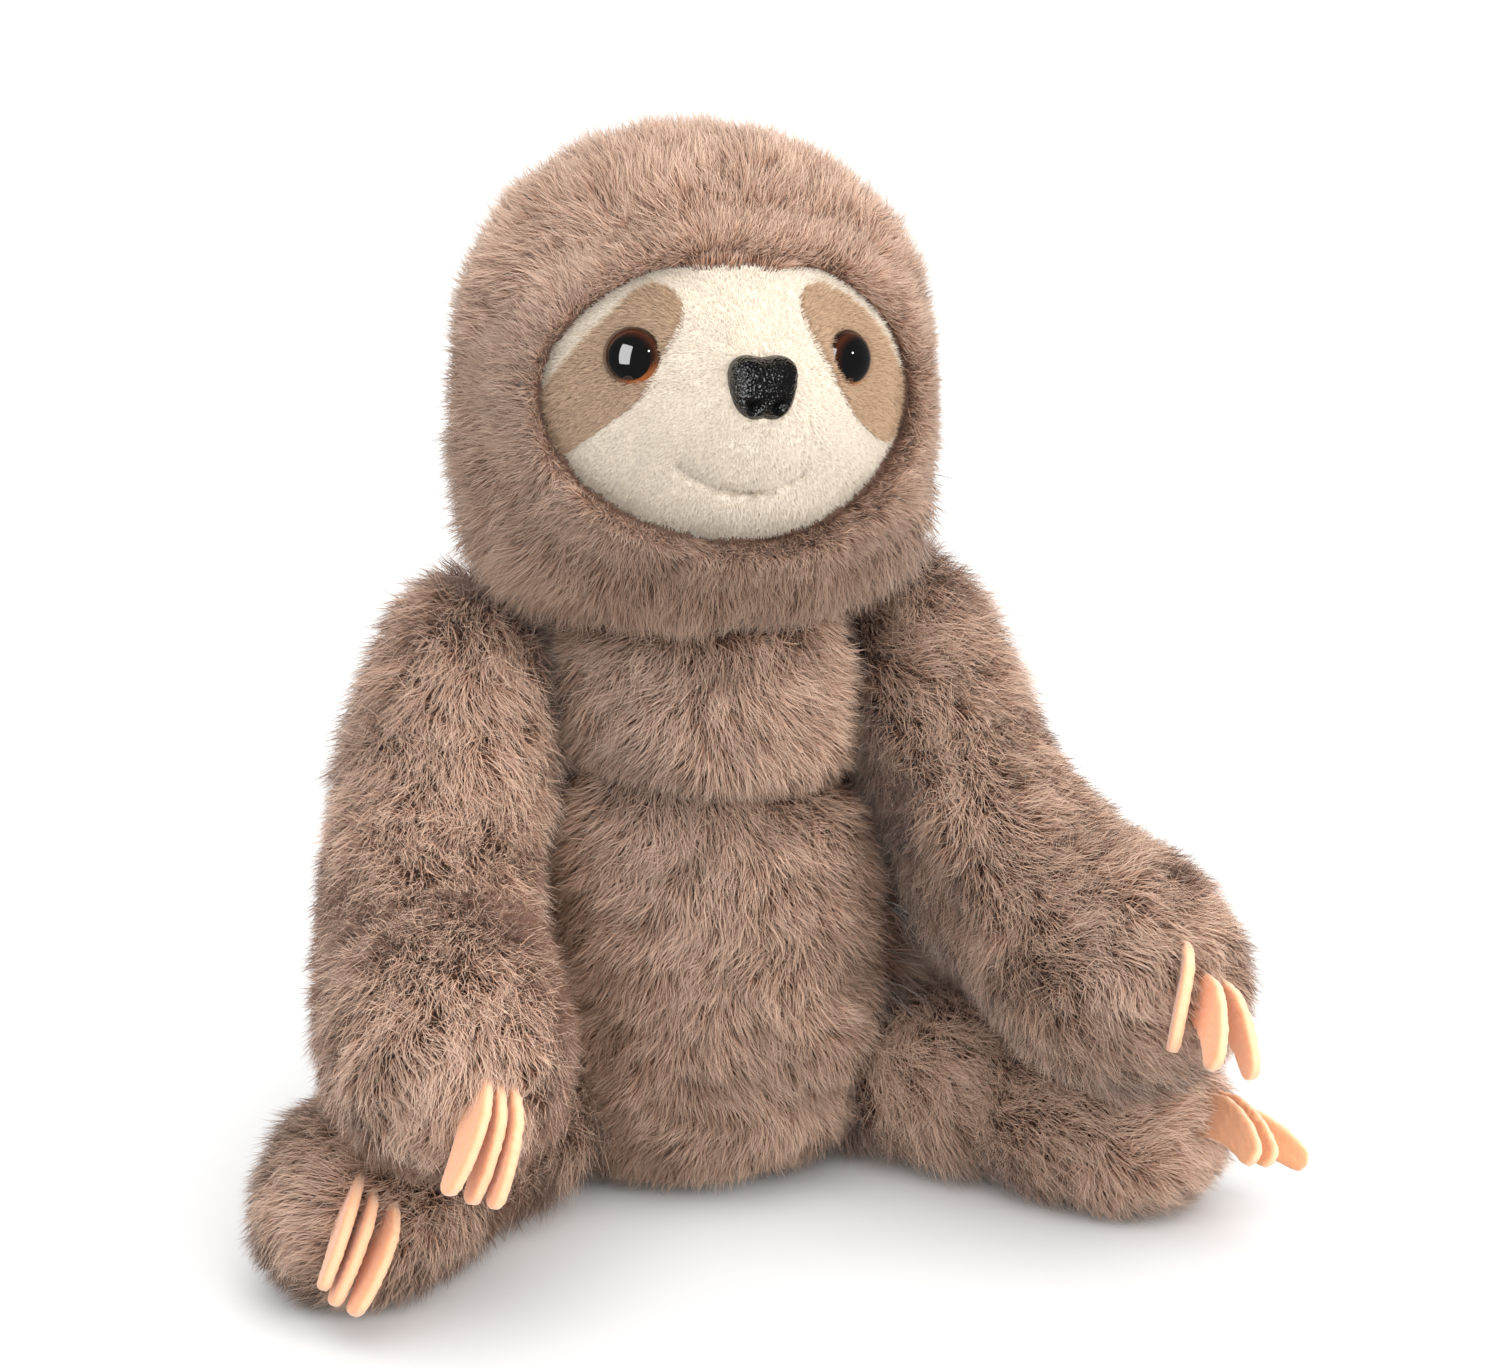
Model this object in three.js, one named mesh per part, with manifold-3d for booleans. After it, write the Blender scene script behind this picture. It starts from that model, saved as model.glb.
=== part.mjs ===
// A seated plush sloth with long arms and short legs, modelled as it is sewn and stuffed.
// Millimetres. It sits on z = 0 and faces -y, and its own left side is +x.
import * as THREE from "three";
import { mergeVertices } from "three/addons/utils/BufferGeometryUtils.js";
import Module from "manifold-3d";

const wasm = await Module();
wasm.setup();

// Driving dimensions.
const gap = 0.3; // free space between two neighbouring pieces
const overrun = 3; // how far a cutting form runs past what it cuts
const furDepth = 11; // long pile and its backing cloth, the wall of every fur skin
const seamWall = 4; // backing cloth and flattened pile where two skins are sewn together
const faceDepth = 4; // short pile and its backing cloth, the wall of the face
const pileRise = 4; // how far the longest hairs stand over the form of a skin
const seatFlat = 0.5; // how deep the stuffed forms are pressed flat where they rest

const torso = {
  height: 155,
  halfWidth: 48,
  halfDepth: 45,
  bellyForward: 7,
  hipSide: 33, // distance of each flat hip seat from the middle plane
  shoulderSide: 38, // distance of each flat shoulder seat from the middle plane
  shoulderSpread: 12, // degrees that the side falls away below the shoulder seat
};
// Height, width, depth and forward lean up the torso, from the seat to the neck.
const torsoShares = [
  [0.0, 0.66, 0.62, 0.0],
  [0.05, 0.8, 0.79, 0.3],
  [0.14, 0.93, 0.93, 0.7],
  [0.28, 1.0, 1.0, 1.0],
  [0.44, 0.99, 0.98, 1.0],
  [0.58, 0.94, 0.93, 0.8],
  [0.67, 0.87, 0.85, 0.4],
  [0.73, 0.87, 0.85, 0.4],
  [0.87, 0.84, 0.82, 0.2],
  [1.0, 0.72, 0.7, 0.0],
];

const head = {
  height: 127,
  sunk: 8, // how far its foot would reach below the neck, where it is pressed flat
  halfWidth: 62.5,
  halfDepth: 55,
  lookUp: 8, // degrees
  tilt: 4, // degrees towards its left shoulder
};
// Height, width, depth and forward lean up the head, from its foot to just under the crown.
const headShares = [
  [0.0, 0.4, 0.44, 0.0],
  [0.07, 0.66, 0.7, 0.01],
  [0.15, 0.85, 0.88, 0.02],
  [0.28, 0.97, 0.98, 0.03],
  [0.44, 1.0, 1.0, 0.02],
  [0.6, 0.98, 0.98, 0.0],
  [0.74, 0.9, 0.9, -0.02],
  [0.85, 0.75, 0.76, -0.03],
  [0.94, 0.51, 0.53, -0.03],
  [0.985, 0.27, 0.29, -0.03],
];

const face = {
  halfWidth: 49,
  halfHeight: 36,
  centreUp: 61.5, // above the head's foot
  inset: 8, // how far the face lies inside the hood's pile
  band: 15, // how far forward of the head's axis its turned-in edge starts
  muzzleForward: 12,
  muzzleHalfWidth: 28,
  muzzleHalfHeight: 26,
  muzzleDown: 5, // below the face's centre
};

const eye = {
  radius: 6.6,
  rise: 4.4, // height of the dome over its rim
  sunk: 1, // how deep the rim sits in the short pile
  halfSpacing: 27,
  up: 10.5, // above the face's centre
  pupilRadius: 4.6,
  plate: 1.4,
  stemRadius: 2,
  stemLength: 13,
  splay: 28, // degrees that each eye looks outwards
};
const nose = {
  halfWidth: 9,
  height: 16.5,
  rise: 6.5,
  sunk: 1.6,
  up: 4, // above the face's centre
  lobeNotch: 1.6,
  nostrilRadius: 1.5,
  nostrilSpacing: 3.9, // from the middle to each nostril
  nostrilDown: 3.2, // below the nose's centre
  stemRadius: 2.2,
  stemLength: 12,
};
const washer = { radius: 6.8, thickness: 1.6, behind: 3.4 };
const patch = {
  halfLength: 29,
  halfWidth: 13.5,
  outward: 8, // from the eye
  down: 4,
  slope: 42, // degrees
};

const shoulder = { x: 57, back: 10, z: 134, portRadius: 11 };
const hip = { x: 46, forward: 6, portRadius: 10 };
const arm = { radius: 27.5, upperLength: 62, foreLength: 84 };
const leg = { radius: 24.5, length: 102 };
// Place along the limb and girth there.
const armShares = [
  [0.0, 0.8],
  [0.25, 0.95],
  [0.5, 1.03],
  [0.72, 1.03],
  [0.9, 0.96],
  [1.0, 0.92],
];
const legShares = [
  [0.0, 1.0],
  [0.3, 1.0],
  [0.6, 0.96],
  [0.85, 0.93],
  [1.0, 0.92],
];
// Degrees. Each arm segment reaches forward of straight down and leans out; each leg splays out.
const armPose = {
  left: { upperForward: 50, upperOut: 8, foreForward: 62, foreOut: 26 },
  right: { upperForward: 39, upperOut: 19, foreForward: 71, foreOut: 7 },
};
const legSplay = { left: 41, right: 47 }; // degrees
// Degrees. Each claw leaves a limb's round end on the side that faces rootForward and rootOut, and
// heads forward of straight down and out. It bends down in a plane that is rolled about its heading.
const armClaws = {
  left: [
    { rootForward: 97, rootOut: 27, forward: 96, out: 5, roll: -9 },
    { rootForward: 103, rootOut: 14, forward: 97, out: 3, roll: -26 },
    { rootForward: 119, rootOut: 5, forward: 72, out: -24, roll: -3 },
  ],
  right: [
    { rootForward: 81, rootOut: -18, forward: 63, out: 5, roll: -21 },
    { rootForward: 84, rootOut: -10, forward: 53, out: 10, roll: -19 },
    { rootForward: 90, rootOut: -2, forward: 58, out: 9, roll: -28 },
  ],
};
const legClaws = {
  left: [
    { rootForward: 98, rootOut: 68, forward: 120, out: 54, roll: 13 },
    { rootForward: 116, rootOut: 47, forward: 113, out: 32, roll: -21 },
    { rootForward: 116, rootOut: 34, forward: 116, out: 27, roll: -24 },
  ],
  right: [
    { rootForward: 102, rootOut: -7, forward: 66, out: 9, roll: -34 },
    { rootForward: 109, rootOut: 4, forward: 62, out: 17, roll: -21 },
    { rootForward: 119, rootOut: 11, forward: 68, out: 17, roll: -18 },
  ],
};
const claw = {
  length: 33,
  root: 14, // the part in the seam and the pile
  rootWidth: 11,
  tipWidth: 5.5,
  thickness: 3,
  edge: 0.5,
  sweep: 48, // degrees that the crescent bends
};
const pellets = { halfWidth: 25, halfDepth: 22, halfHeight: 14, up: 20 };

// How finely each form is divided.
const bodySides = { skin: 28, core: 14 };
const faceSides = 28;
const faceRings = 7;
const limb = { sides: 20, rings: 12 };
const core = { sides: 12, rings: 8 };
const turnedSides = 18;
const domeSteps = 4;
const roomSides = 28;
const clawSteps = 6;
const clawTipSteps = 4;

// Places worked out from the sizes above.
const degree = Math.PI / 180;
const quarterTurn = 90; // degrees
const neckZ = torso.height;
const headFoot = neckZ - head.sunk;
const faceZ = headFoot + face.centreUp;
const hipZ = leg.radius - seatFlat;
const reach = 2 * (torso.height + head.height);

// Colour, roughness and metalness of each finish.
const finishes = {
  fur: { color: 0xa08878, roughness: 0.95, metalness: 0 },
  cream: { color: 0xf3ebdd, roughness: 0.9, metalness: 0 },
  patch: { color: 0xb59b80, roughness: 0.85, metalness: 0 },
  felt: { color: 0xe9a877, roughness: 0.95, metalness: 0 },
  amber: { color: 0x5a2a12, roughness: 0.08, metalness: 0 },
  black: { color: 0x0c0b0b, roughness: 0.25, metalness: 0 },
  washer: { color: 0xf2f2ef, roughness: 0.5, metalness: 0 },
  filling: { color: 0xf5f4f0, roughness: 1, metalness: 0 },
  sack: { color: 0xd8d2c6, roughness: 0.9, metalness: 0 },
};

// A closed surface through rings that turn anticlockwise about the way from one pole to the other.
function closedForm(startPole, rings, endPole) {
  const sides = rings[0].length;
  const points = [startPole, ...rings.flat(), endPole];
  const at = (ring, side) => 1 + ring * sides + (side % sides);
  const index = [];
  for (let side = 0; side < sides; side++) {
    index.push(0, at(0, side + 1), at(0, side));
    for (let ring = 0; ring + 1 < rings.length; ring++) {
      index.push(at(ring, side), at(ring, side + 1), at(ring + 1, side + 1));
      index.push(at(ring, side), at(ring + 1, side + 1), at(ring + 1, side));
    }
    index.push(points.length - 1, at(rings.length - 1, side), at(rings.length - 1, side + 1));
  }
  return new THREE.BufferGeometry().setFromPoints(points).setIndex(index);
}

// A three.js geometry as a solid that can be cut and joined.
function solidOf(geometry) {
  const bare = geometry.clone();
  bare.deleteAttribute("normal");
  bare.deleteAttribute("uv");
  const merged = mergeVertices(bare);
  return new wasm.Manifold(
    new wasm.Mesh({
      numProp: 3,
      vertProperties: merged.attributes.position.array,
      triVerts: new Uint32Array(merged.index.array),
    }),
  );
}

// A solid as a named mesh in one of the finishes.
function pieceOf(name, solid, finish) {
  const mesh = solid.getMesh();
  const geometry = new THREE.BufferGeometry();
  geometry.setAttribute("position", new THREE.BufferAttribute(mesh.vertProperties, 3));
  geometry.setIndex(new THREE.BufferAttribute(mesh.triVerts, 1));
  geometry.computeVertexNormals();
  const piece = new THREE.Mesh(geometry, new THREE.MeshStandardMaterial(finishes[finish]));
  piece.name = name;
  return piece;
}

// The points of a ring: a function of the angle, called once for each side.
function ringOf(sides, pointAt) {
  return Array.from({ length: sides }, (_, side) => pointAt((side / sides) * 2 * Math.PI));
}

// The second column of a table of shares, read between its rows.
function shareAt(shares, place) {
  const row = Math.max(1, shares.findIndex(([at], index) => index && at >= place));
  const [[fromPlace, from], [toPlace, to]] = [shares[row - 1], shares[row]];
  return from + ((to - from) * (place - fromPlace)) / (toPlace - fromPlace);
}

// An upright stuffed form: level rings whose width, depth and lean follow a table of shares.
function uprightForm({ foot, top, halfWidth, halfDepth, lean, shares, sides, inset }) {
  const base = foot + inset;
  const tall = top - foot - 2 * inset;
  const ways = shares.map(([up, wide, deep, forward]) =>
    ringOf(
      sides,
      (angle) =>
        new THREE.Vector3(
          Math.cos(angle) * (wide * halfWidth - inset),
          Math.sin(angle) * (deep * halfDepth - inset) - forward * lean,
          base + up * tall,
        ),
    ),
  );
  const leanAt = (row) => -shares[row][3] * lean;
  return solidOf(
    closedForm(
      new THREE.Vector3(0, leanAt(0), base),
      ways,
      new THREE.Vector3(0, leanAt(shares.length - 1), top - inset),
    ),
  );
}

function torsoForm(inset) {
  return uprightForm({
    foot: -seatFlat,
    top: torso.height,
    halfWidth: torso.halfWidth,
    halfDepth: torso.halfDepth,
    lean: torso.bellyForward,
    shares: torsoShares,
    sides: inset ? bodySides.core : bodySides.skin,
    inset,
  });
}

function headForm(inset) {
  return uprightForm({
    foot: headFoot,
    top: headFoot + head.height,
    halfWidth: head.halfWidth,
    halfDepth: head.halfDepth,
    lean: head.halfDepth,
    shares: headShares,
    sides: inset ? bodySides.core : bodySides.skin,
    inset,
  });
}

// A stuffed limb: round sections along a bent spine, swelling as the shares say, with round ends.
function limbForm(spine, radius, shares, inset, mesh) {
  const length = spine.getLength();
  const end = length - inset;
  const rings = [];
  for (let ring = 1; ring < mesh.rings; ring++) {
    const eased = (1 - Math.cos((ring / mesh.rings) * Math.PI)) / 2;
    const along = inset + eased * (end - inset);
    const girth = shareAt(shares, along / length) * radius - inset;
    const fromEnd = Math.min(along - inset, end - along);
    const rounding = fromEnd < girth ? Math.sqrt(1 - ((girth - fromEnd) / girth) ** 2) : 1;
    rings.push(crossSection(spine, along / length, girth * rounding, mesh.sides));
  }
  return solidOf(
    closedForm(spine.getPointAt(inset / length), rings, spine.getPointAt(end / length)),
  );
}

// A round section square to a spine, its points turning anticlockwise about the way along it.
function crossSection(spine, place, radius, sides) {
  const centre = spine.getPointAt(place);
  const along = spine.getTangentAt(place);
  const across = new THREE.Vector3(1, 0, 0).projectOnPlane(along).normalize();
  const over = new THREE.Vector3().crossVectors(along, across);
  return ringOf(sides, (angle) =>
    centre
      .clone()
      .addScaledVector(across, Math.cos(angle) * radius)
      .addScaledVector(over, Math.sin(angle) * radius),
  );
}

// Everything below a height, as wide as the toy can need.
function below(z) {
  return solidOf(new THREE.BoxGeometry(reach, reach, reach).translate(0, 0, z - reach / 2));
}

// A prism that runs along y, from an outline in x and z that turns from +x towards +z.
function prismOf(outline, nearY, farY) {
  const at = (y) => outline.map(([x, z]) => new THREE.Vector3(x, y, z));
  const sum = outline.reduce(([a, b], [x, z]) => [a + x, b + z], [0, 0]);
  const [middleX, middleZ] = sum.map((total) => total / outline.length);
  return solidOf(
    closedForm(
      new THREE.Vector3(middleX, farY, middleZ),
      [at(farY), at(nearY)],
      new THREE.Vector3(middleX, nearY, middleZ),
    ),
  );
}

// A turned form about -y, from a closed profile of radius and forward distance.
function turnedOf(profile) {
  const points = profile.map(([radius, forward]) => new THREE.Vector2(radius, forward));
  return new THREE.LatheGeometry(points, turnedSides).rotateX(Math.PI);
}

// A turned form about x at a pivot, from a profile of radius and distance outwards from x = 0.
function turnedBeside(side, pivot, profile, sides) {
  const points = profile.map(([radius, out]) => new THREE.Vector2(radius, out));
  const form = new THREE.LatheGeometry(points, sides).rotateZ(-side * (Math.PI / 2));
  return solidOf(form.translate(0, pivot.y, pivot.z));
}

// The room beside the torso in which a limb turns: outside a flat seat that widens to a cone.
function roomBeside(side, pivot, seat, flatRadius, spread, margin) {
  const rim = reach / 2;
  const inner = seat - margin;
  const outer = inner + (rim - flatRadius) * Math.tan(spread * degree);
  const profile = [
    [0, inner],
    [flatRadius, inner],
    [rim, outer],
    [rim, outer + reach],
    [0, outer + reach],
  ];
  return turnedBeside(side, pivot, profile, roomSides);
}

// The stuffed neck through which a limb is filled, from its seat out to the limb's middle.
function portBeside(side, pivot, seat, radius) {
  const profile = [
    [0, seat],
    [radius, seat],
    [radius, pivot.x],
    [0, pivot.x],
  ];
  return turnedBeside(side, pivot, profile, core.sides);
}

const shoulderPivot = { x: shoulder.x, y: shoulder.back, z: shoulder.z };
const hipPivot = { x: hip.x, y: -hip.forward, z: hipZ };

// The rooms of both arms and both legs, grown towards the torso's middle by a margin.
function roomsBeside(margin) {
  const rooms = [1, -1].flatMap((side) => [
    roomBeside(
      side,
      shoulderPivot,
      torso.shoulderSide,
      arm.radius,
      torso.shoulderSpread,
      margin,
    ),
    roomBeside(
      side,
      hipPivot,
      torso.hipSide,
      leg.radius + gap,
      Math.min(legSplay.left, legSplay.right),
      margin,
    ),
  ]);
  return rooms.reduce((all, room) => all.add(room));
}

// The torso: a fur skin open at the neck, a filling, and a sack of pellets that weights the seat.
function torsoPieces() {
  const hollow = torsoForm(furDepth).subtract(roomsBeside(seamWall));
  const mouth = solidOf(
    new THREE.CylinderGeometry(
      torso.halfDepth / 2,
      torso.halfDepth / 2,
      2 * furDepth,
      core.sides,
    )
      .rotateX(Math.PI / 2)
      .translate(0, 0, torso.height),
  );
  const skin = torsoForm(0)
    .subtract(roomsBeside(0))
    .subtract(below(0))
    .subtract(hollow.add(mouth));
  const room = torsoForm(furDepth + gap).subtract(roomsBeside(seamWall + gap));
  const sack = sackForm(0).intersect(room);
  return [
    pieceOf("torso_skin", skin, "fur"),
    pieceOf("torso_filling", room.subtract(sackForm(gap)), "filling"),
    pieceOf("pellet_sack", sack, "sack"),
  ];
}

function sackForm(margin) {
  const form = new THREE.SphereGeometry(1, turnedSides, core.sides).rotateX(Math.PI / 2);
  form.scale(pellets.halfWidth + margin, pellets.halfDepth + margin, pellets.halfHeight + margin);
  return solidOf(form.translate(0, 0, pellets.up));
}

// The face's surface, measured forward of the head's axis at a place across and up the face.
function faceForward(x, up, inset) {
  const wide = x / (head.halfWidth - face.inset - inset);
  const middle = head.height / 2;
  const tall = (up + face.centreUp - middle) / (middle - face.inset - inset);
  const dome = Math.sqrt(Math.max(0, 1 - wide * wide - tall * tall));
  const aside = x / face.muzzleHalfWidth;
  const off = (up + face.muzzleDown) / face.muzzleHalfHeight;
  const muzzle = face.muzzleForward * Math.exp(-aside * aside - off * off);
  return (head.halfDepth - face.inset - inset) * dome + muzzle;
}

// The face as a domed form on an oval, shrunk by an inset and closed at a back plane.
function faceForm(inset, backForward) {
  const ringAt = (share, forward) =>
    ringOf(faceSides, (angle) => {
      const x = Math.cos(angle) * (face.halfWidth - gap - inset) * share;
      const up = Math.sin(angle) * (face.halfHeight - gap - inset) * share;
      return new THREE.Vector3(x, -(forward ?? faceForward(x, up, inset)), faceZ + up);
    });
  const rings = [ringAt(1, backForward)];
  for (let ring = faceRings; ring > 0; ring--) {
    rings.push(ringAt(Math.sin(((ring / faceRings) * Math.PI) / 2)));
  }
  return solidOf(
    closedForm(
      new THREE.Vector3(0, -backForward, faceZ),
      rings,
      new THREE.Vector3(0, -faceForward(0, 0, inset), faceZ),
    ),
  );
}

// The oval that the hood leaves open for the face, cut back to a plane.
function faceOpening(backForward) {
  const outline = ringOf(faceSides, (angle) => [
    Math.cos(angle) * face.halfWidth,
    faceZ + Math.sin(angle) * face.halfHeight,
  ]);
  return prismOf(outline, -reach, -backForward);
}

// An eye patch's slanted oval, grown by a margin and run through the face cloth.
function patchCut(side, margin) {
  const turn = patch.slope * degree;
  const outline = ringOf(faceSides, (angle) => {
    const along = Math.cos(angle) * (patch.halfLength + margin);
    const across = Math.sin(angle) * (patch.halfWidth + margin);
    const out = -along * Math.cos(turn) + across * Math.sin(turn);
    const up = along * Math.sin(turn) + across * Math.cos(turn);
    const x = eye.halfSpacing + patch.outward + out;
    return [side * x, faceZ + eye.up - patch.down + up];
  });
  return prismOf(side > 0 ? outline.reverse() : outline, -reach, 0);
}

// Sets a form that looks along -y on the face at a place, turned to look outwards.
function onFace(geometry, x, up, turn, sunk) {
  geometry.rotateZ(turn * degree);
  return solidOf(geometry.translate(x, sunk - faceForward(x, up, 0), faceZ + up));
}

// A dome's outline from one radius to another, as radius and forward distance.
function domeProfile(fromRadius, toRadius, rimRadius, rise) {
  return Array.from({ length: domeSteps + 1 }, (_, step) => {
    const radius = fromRadius + ((toRadius - fromRadius) * step) / domeSteps;
    return [radius, rise * Math.sqrt(Math.max(0, 1 - (radius / rimRadius) ** 2))];
  });
}

// One safety eye: an amber ring over a black core with its stem, and a washer behind the cloth.
function eyeForms(side) {
  const place = (profile) =>
    onFace(turnedOf(profile), side * eye.halfSpacing, eye.up, side * eye.splay, eye.sunk);
  const bore = eye.pupilRadius + gap;
  const iris = [
    [bore, 0],
    ...domeProfile(eye.radius, bore, eye.radius + gap, eye.rise),
    [bore, 0],
  ];
  const black = [
    [0, -eye.stemLength],
    [eye.stemRadius, -eye.stemLength],
    [eye.stemRadius, -eye.plate],
    [eye.radius, -eye.plate],
    [eye.radius, -gap],
    [eye.pupilRadius, -gap],
    ...domeProfile(eye.pupilRadius, 0, eye.radius + gap, eye.rise),
  ];
  const hole = [
    [0, -eye.stemLength - gap],
    [eye.stemRadius + gap, -eye.stemLength - gap],
    [eye.stemRadius + gap, -eye.plate - gap],
    [eye.radius + gap, -eye.plate - gap],
    [eye.radius + gap, eye.rise],
    [0, eye.rise],
  ];
  return {
    iris: place(iris),
    core: place(black),
    hole: place(hole),
    ...washerForms(place, eye.stemRadius, faceDepth - eye.sunk + washer.behind),
  };
}

// A lock washer on a stem, and the room it takes in the filling.
function washerForms(place, stemRadius, behind) {
  const bore = stemRadius + gap;
  const back = behind + washer.thickness;
  return {
    washer: place([
      [bore, -back],
      [washer.radius, -back],
      [washer.radius, -behind],
      [bore, -behind],
      [bore, -back],
    ]),
    washerRoom: place([
      [0, -back - gap],
      [washer.radius + gap, -back - gap],
      [washer.radius + gap, gap - behind],
      [0, gap - behind],
    ]),
  };
}

// The nose's dome on an outline with two lobes at the top and a narrow foot, grown by a margin.
function noseDome(margin) {
  const half = nose.height / 2 + margin;
  const ringAt = (share, forward) =>
    ringOf(turnedSides, (angle) => {
      const up = Math.sin(angle);
      const narrow = up < 0 ? 1 + up / 3 : 1;
      const notch = up > 0 ? nose.lobeNotch * Math.exp(-((3 * Math.cos(angle)) ** 2)) : 0;
      const x = Math.cos(angle) * (nose.halfWidth + margin) * narrow * share;
      return new THREE.Vector3(x, -forward, up * (half - notch) * share);
    });
  const rings = [ringAt(1, -margin)];
  for (let step = domeSteps; step > 0; step--) {
    const angle = ((step / domeSteps) * Math.PI) / 2;
    rings.push(ringAt(Math.sin(angle), gap + (nose.rise + margin) * Math.cos(angle) ** (2 / 3)));
  }
  return closedForm(
    new THREE.Vector3(0, margin, 0),
    rings,
    new THREE.Vector3(0, -gap - nose.rise - margin, 0),
  );
}

// The moulded nose with its nostrils and stem, and its washer behind the cloth.
function noseForms() {
  const place = (profile) => onFace(turnedOf(profile), 0, nose.up, 0, nose.sunk);
  const stem = (margin) =>
    place([
      [0, -nose.stemLength - margin],
      [nose.stemRadius + margin, -nose.stemLength - margin],
      [nose.stemRadius + margin, nose.rise / 2],
      [0, nose.rise / 2],
    ]);
  const nostrils = [1, -1].map((side) =>
    onFace(
      new THREE.SphereGeometry(nose.nostrilRadius, core.sides, core.rings).translate(
        side * nose.nostrilSpacing,
        -nose.rise,
        -nose.nostrilDown,
      ),
      0,
      nose.up,
      0,
      nose.sunk,
    ),
  );
  const dome = (margin) => onFace(noseDome(margin), 0, nose.up, 0, nose.sunk).add(stem(margin));
  return {
    nose: nostrils.reduce((solid, nostril) => solid.subtract(nostril), dome(0)),
    hole: dome(gap),
    ...washerForms(place, nose.stemRadius, faceDepth - nose.sunk + washer.behind),
  };
}

// A piece of the head, turned to look up and to one side and cut flat where it meets the neck.
function onNeck(name, solid, finish) {
  const middle = headFoot + head.height / 2;
  const posed = solid.translate(0, 0, -middle).rotate([-head.lookUp, head.tilt, 0]);
  return pieceOf(name, posed.translate(0, 0, middle).subtract(below(neckZ + gap)), finish);
}

// The head: a fur hood round a short-pile face with its patches, eyes and nose, and the filling.
// The washers press into the back of the face's cloth.
function headPieces() {
  const snout = noseForms();
  const eyes = { left: eyeForms(1), right: eyeForms(-1) };
  const cloth = faceForm(0, face.band)
    .subtract(faceForm(faceDepth, face.band - overrun))
    .subtract(snout.washerRoom)
    .subtract(eyes.left.washerRoom)
    .subtract(eyes.right.washerRoom);
  let panel = cloth.subtract(snout.hole);
  let filling = headForm(furDepth + gap)
    .subtract(faceOpening(face.band - gap))
    .add(faceForm(faceDepth + gap, 0))
    .subtract(snout.hole)
    .subtract(snout.washerRoom);
  const pieces = [];
  for (const [name, side] of [["left", 1], ["right", -1]]) {
    const { iris, core: black, hole, washer: lock, washerRoom } = eyes[name];
    panel = panel.subtract(patchCut(side, gap)).subtract(hole);
    filling = filling.subtract(hole).subtract(washerRoom);
    pieces.push(
      onNeck("eye_patch_" + name, cloth.intersect(patchCut(side, 0)).subtract(hole), "patch"),
      onNeck("eye_iris_" + name, iris, "amber"),
      onNeck("eye_core_" + name, black, "black"),
      onNeck("eye_washer_" + name, lock, "washer"),
    );
  }
  const hood = headForm(0).subtract(headForm(furDepth)).subtract(faceOpening(0));
  return [
    onNeck("head_hood", hood, "fur"),
    onNeck("head_filling", filling, "filling"),
    onNeck("face_panel", panel, "cream"),
    onNeck("nose", snout.nose, "black"),
    onNeck("nose_washer", snout.washer, "washer"),
    ...pieces,
  ];
}

// A crescent claw cut from felt, lying in x and y with its root at the origin, grown by a margin.
function clawForm(margin) {
  const sweep = claw.sweep * degree;
  const bend = claw.length / sweep;
  const edgeAt = (share, side) => {
    const width = claw.rootWidth + (claw.tipWidth - claw.rootWidth) * share ** 1.5;
    const radius = bend + side * (width / 2 + margin);
    const angle = share * sweep;
    return new THREE.Vector2(bend - radius * Math.cos(angle), radius * Math.sin(angle));
  };
  const points = [];
  for (let step = 0; step <= clawSteps; step++) points.push(edgeAt(step / clawSteps, 1));
  const tipRadius = claw.tipWidth / 2 + margin;
  for (let step = 1; step < clawTipSteps; step++) {
    const turn = sweep + (step / clawTipSteps) * Math.PI;
    const x = bend - bend * Math.cos(sweep) - tipRadius * Math.cos(turn);
    points.push(new THREE.Vector2(x, bend * Math.sin(sweep) + tipRadius * Math.sin(turn)));
  }
  for (let step = clawSteps; step >= 0; step--) points.push(edgeAt(step / clawSteps, -1));
  const form = new THREE.ExtrudeGeometry(new THREE.Shape(points), {
    depth: claw.thickness + 2 * margin - 2 * claw.edge,
    bevelThickness: claw.edge,
    bevelSize: claw.edge,
    bevelOffset: -claw.edge,
    bevelSegments: 1,
  });
  return form.translate(0, 0, claw.edge - claw.thickness / 2 - margin);
}

// Sets a claw in a limb's round end about a middle point, its crescent bending down.
function setClaw(side, middle, endRadius, pose, margin) {
  const heading = downward(side, pose.forward, pose.out);
  const bendWay = downward(side, pose.forward - quarterTurn, 0);
  bendWay.applyAxisAngle(heading, pose.roll * degree);
  const face = new THREE.Vector3().crossVectors(bendWay, heading);
  const root = middle
    .clone()
    .addScaledVector(downward(side, pose.rootForward, pose.rootOut), endRadius + pileRise)
    .addScaledVector(heading, -claw.root);
  const place = new THREE.Matrix4().makeBasis(bendWay, heading, face).setPosition(root);
  return solidOf(clawForm(margin).applyMatrix4(place));
}

// A direction that starts straight down, turned forward and out to one side.
function downward(side, forward, out) {
  return new THREE.Vector3(
    side * Math.sin(out * degree),
    -Math.cos(out * degree) * Math.sin(forward * degree),
    -Math.cos(out * degree) * Math.cos(forward * degree),
  );
}

// The line through an arm's middle, from over the shoulder by the elbow to the end of the paw.
function armSpine(side, pose) {
  const upper = downward(side, pose.upperForward, pose.upperOut);
  const fore = downward(side, pose.foreForward, pose.foreOut);
  const middle = new THREE.Vector3(side * shoulder.x, shoulder.back, shoulder.z);
  const elbow = middle.clone().addScaledVector(upper, arm.upperLength);
  const tip = elbow.clone().addScaledVector(fore, arm.foreLength);
  const top = middle.clone().addScaledVector(upper, -arm.radius);
  return new THREE.CatmullRomCurve3([top, middle, elbow, tip]);
}

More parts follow.
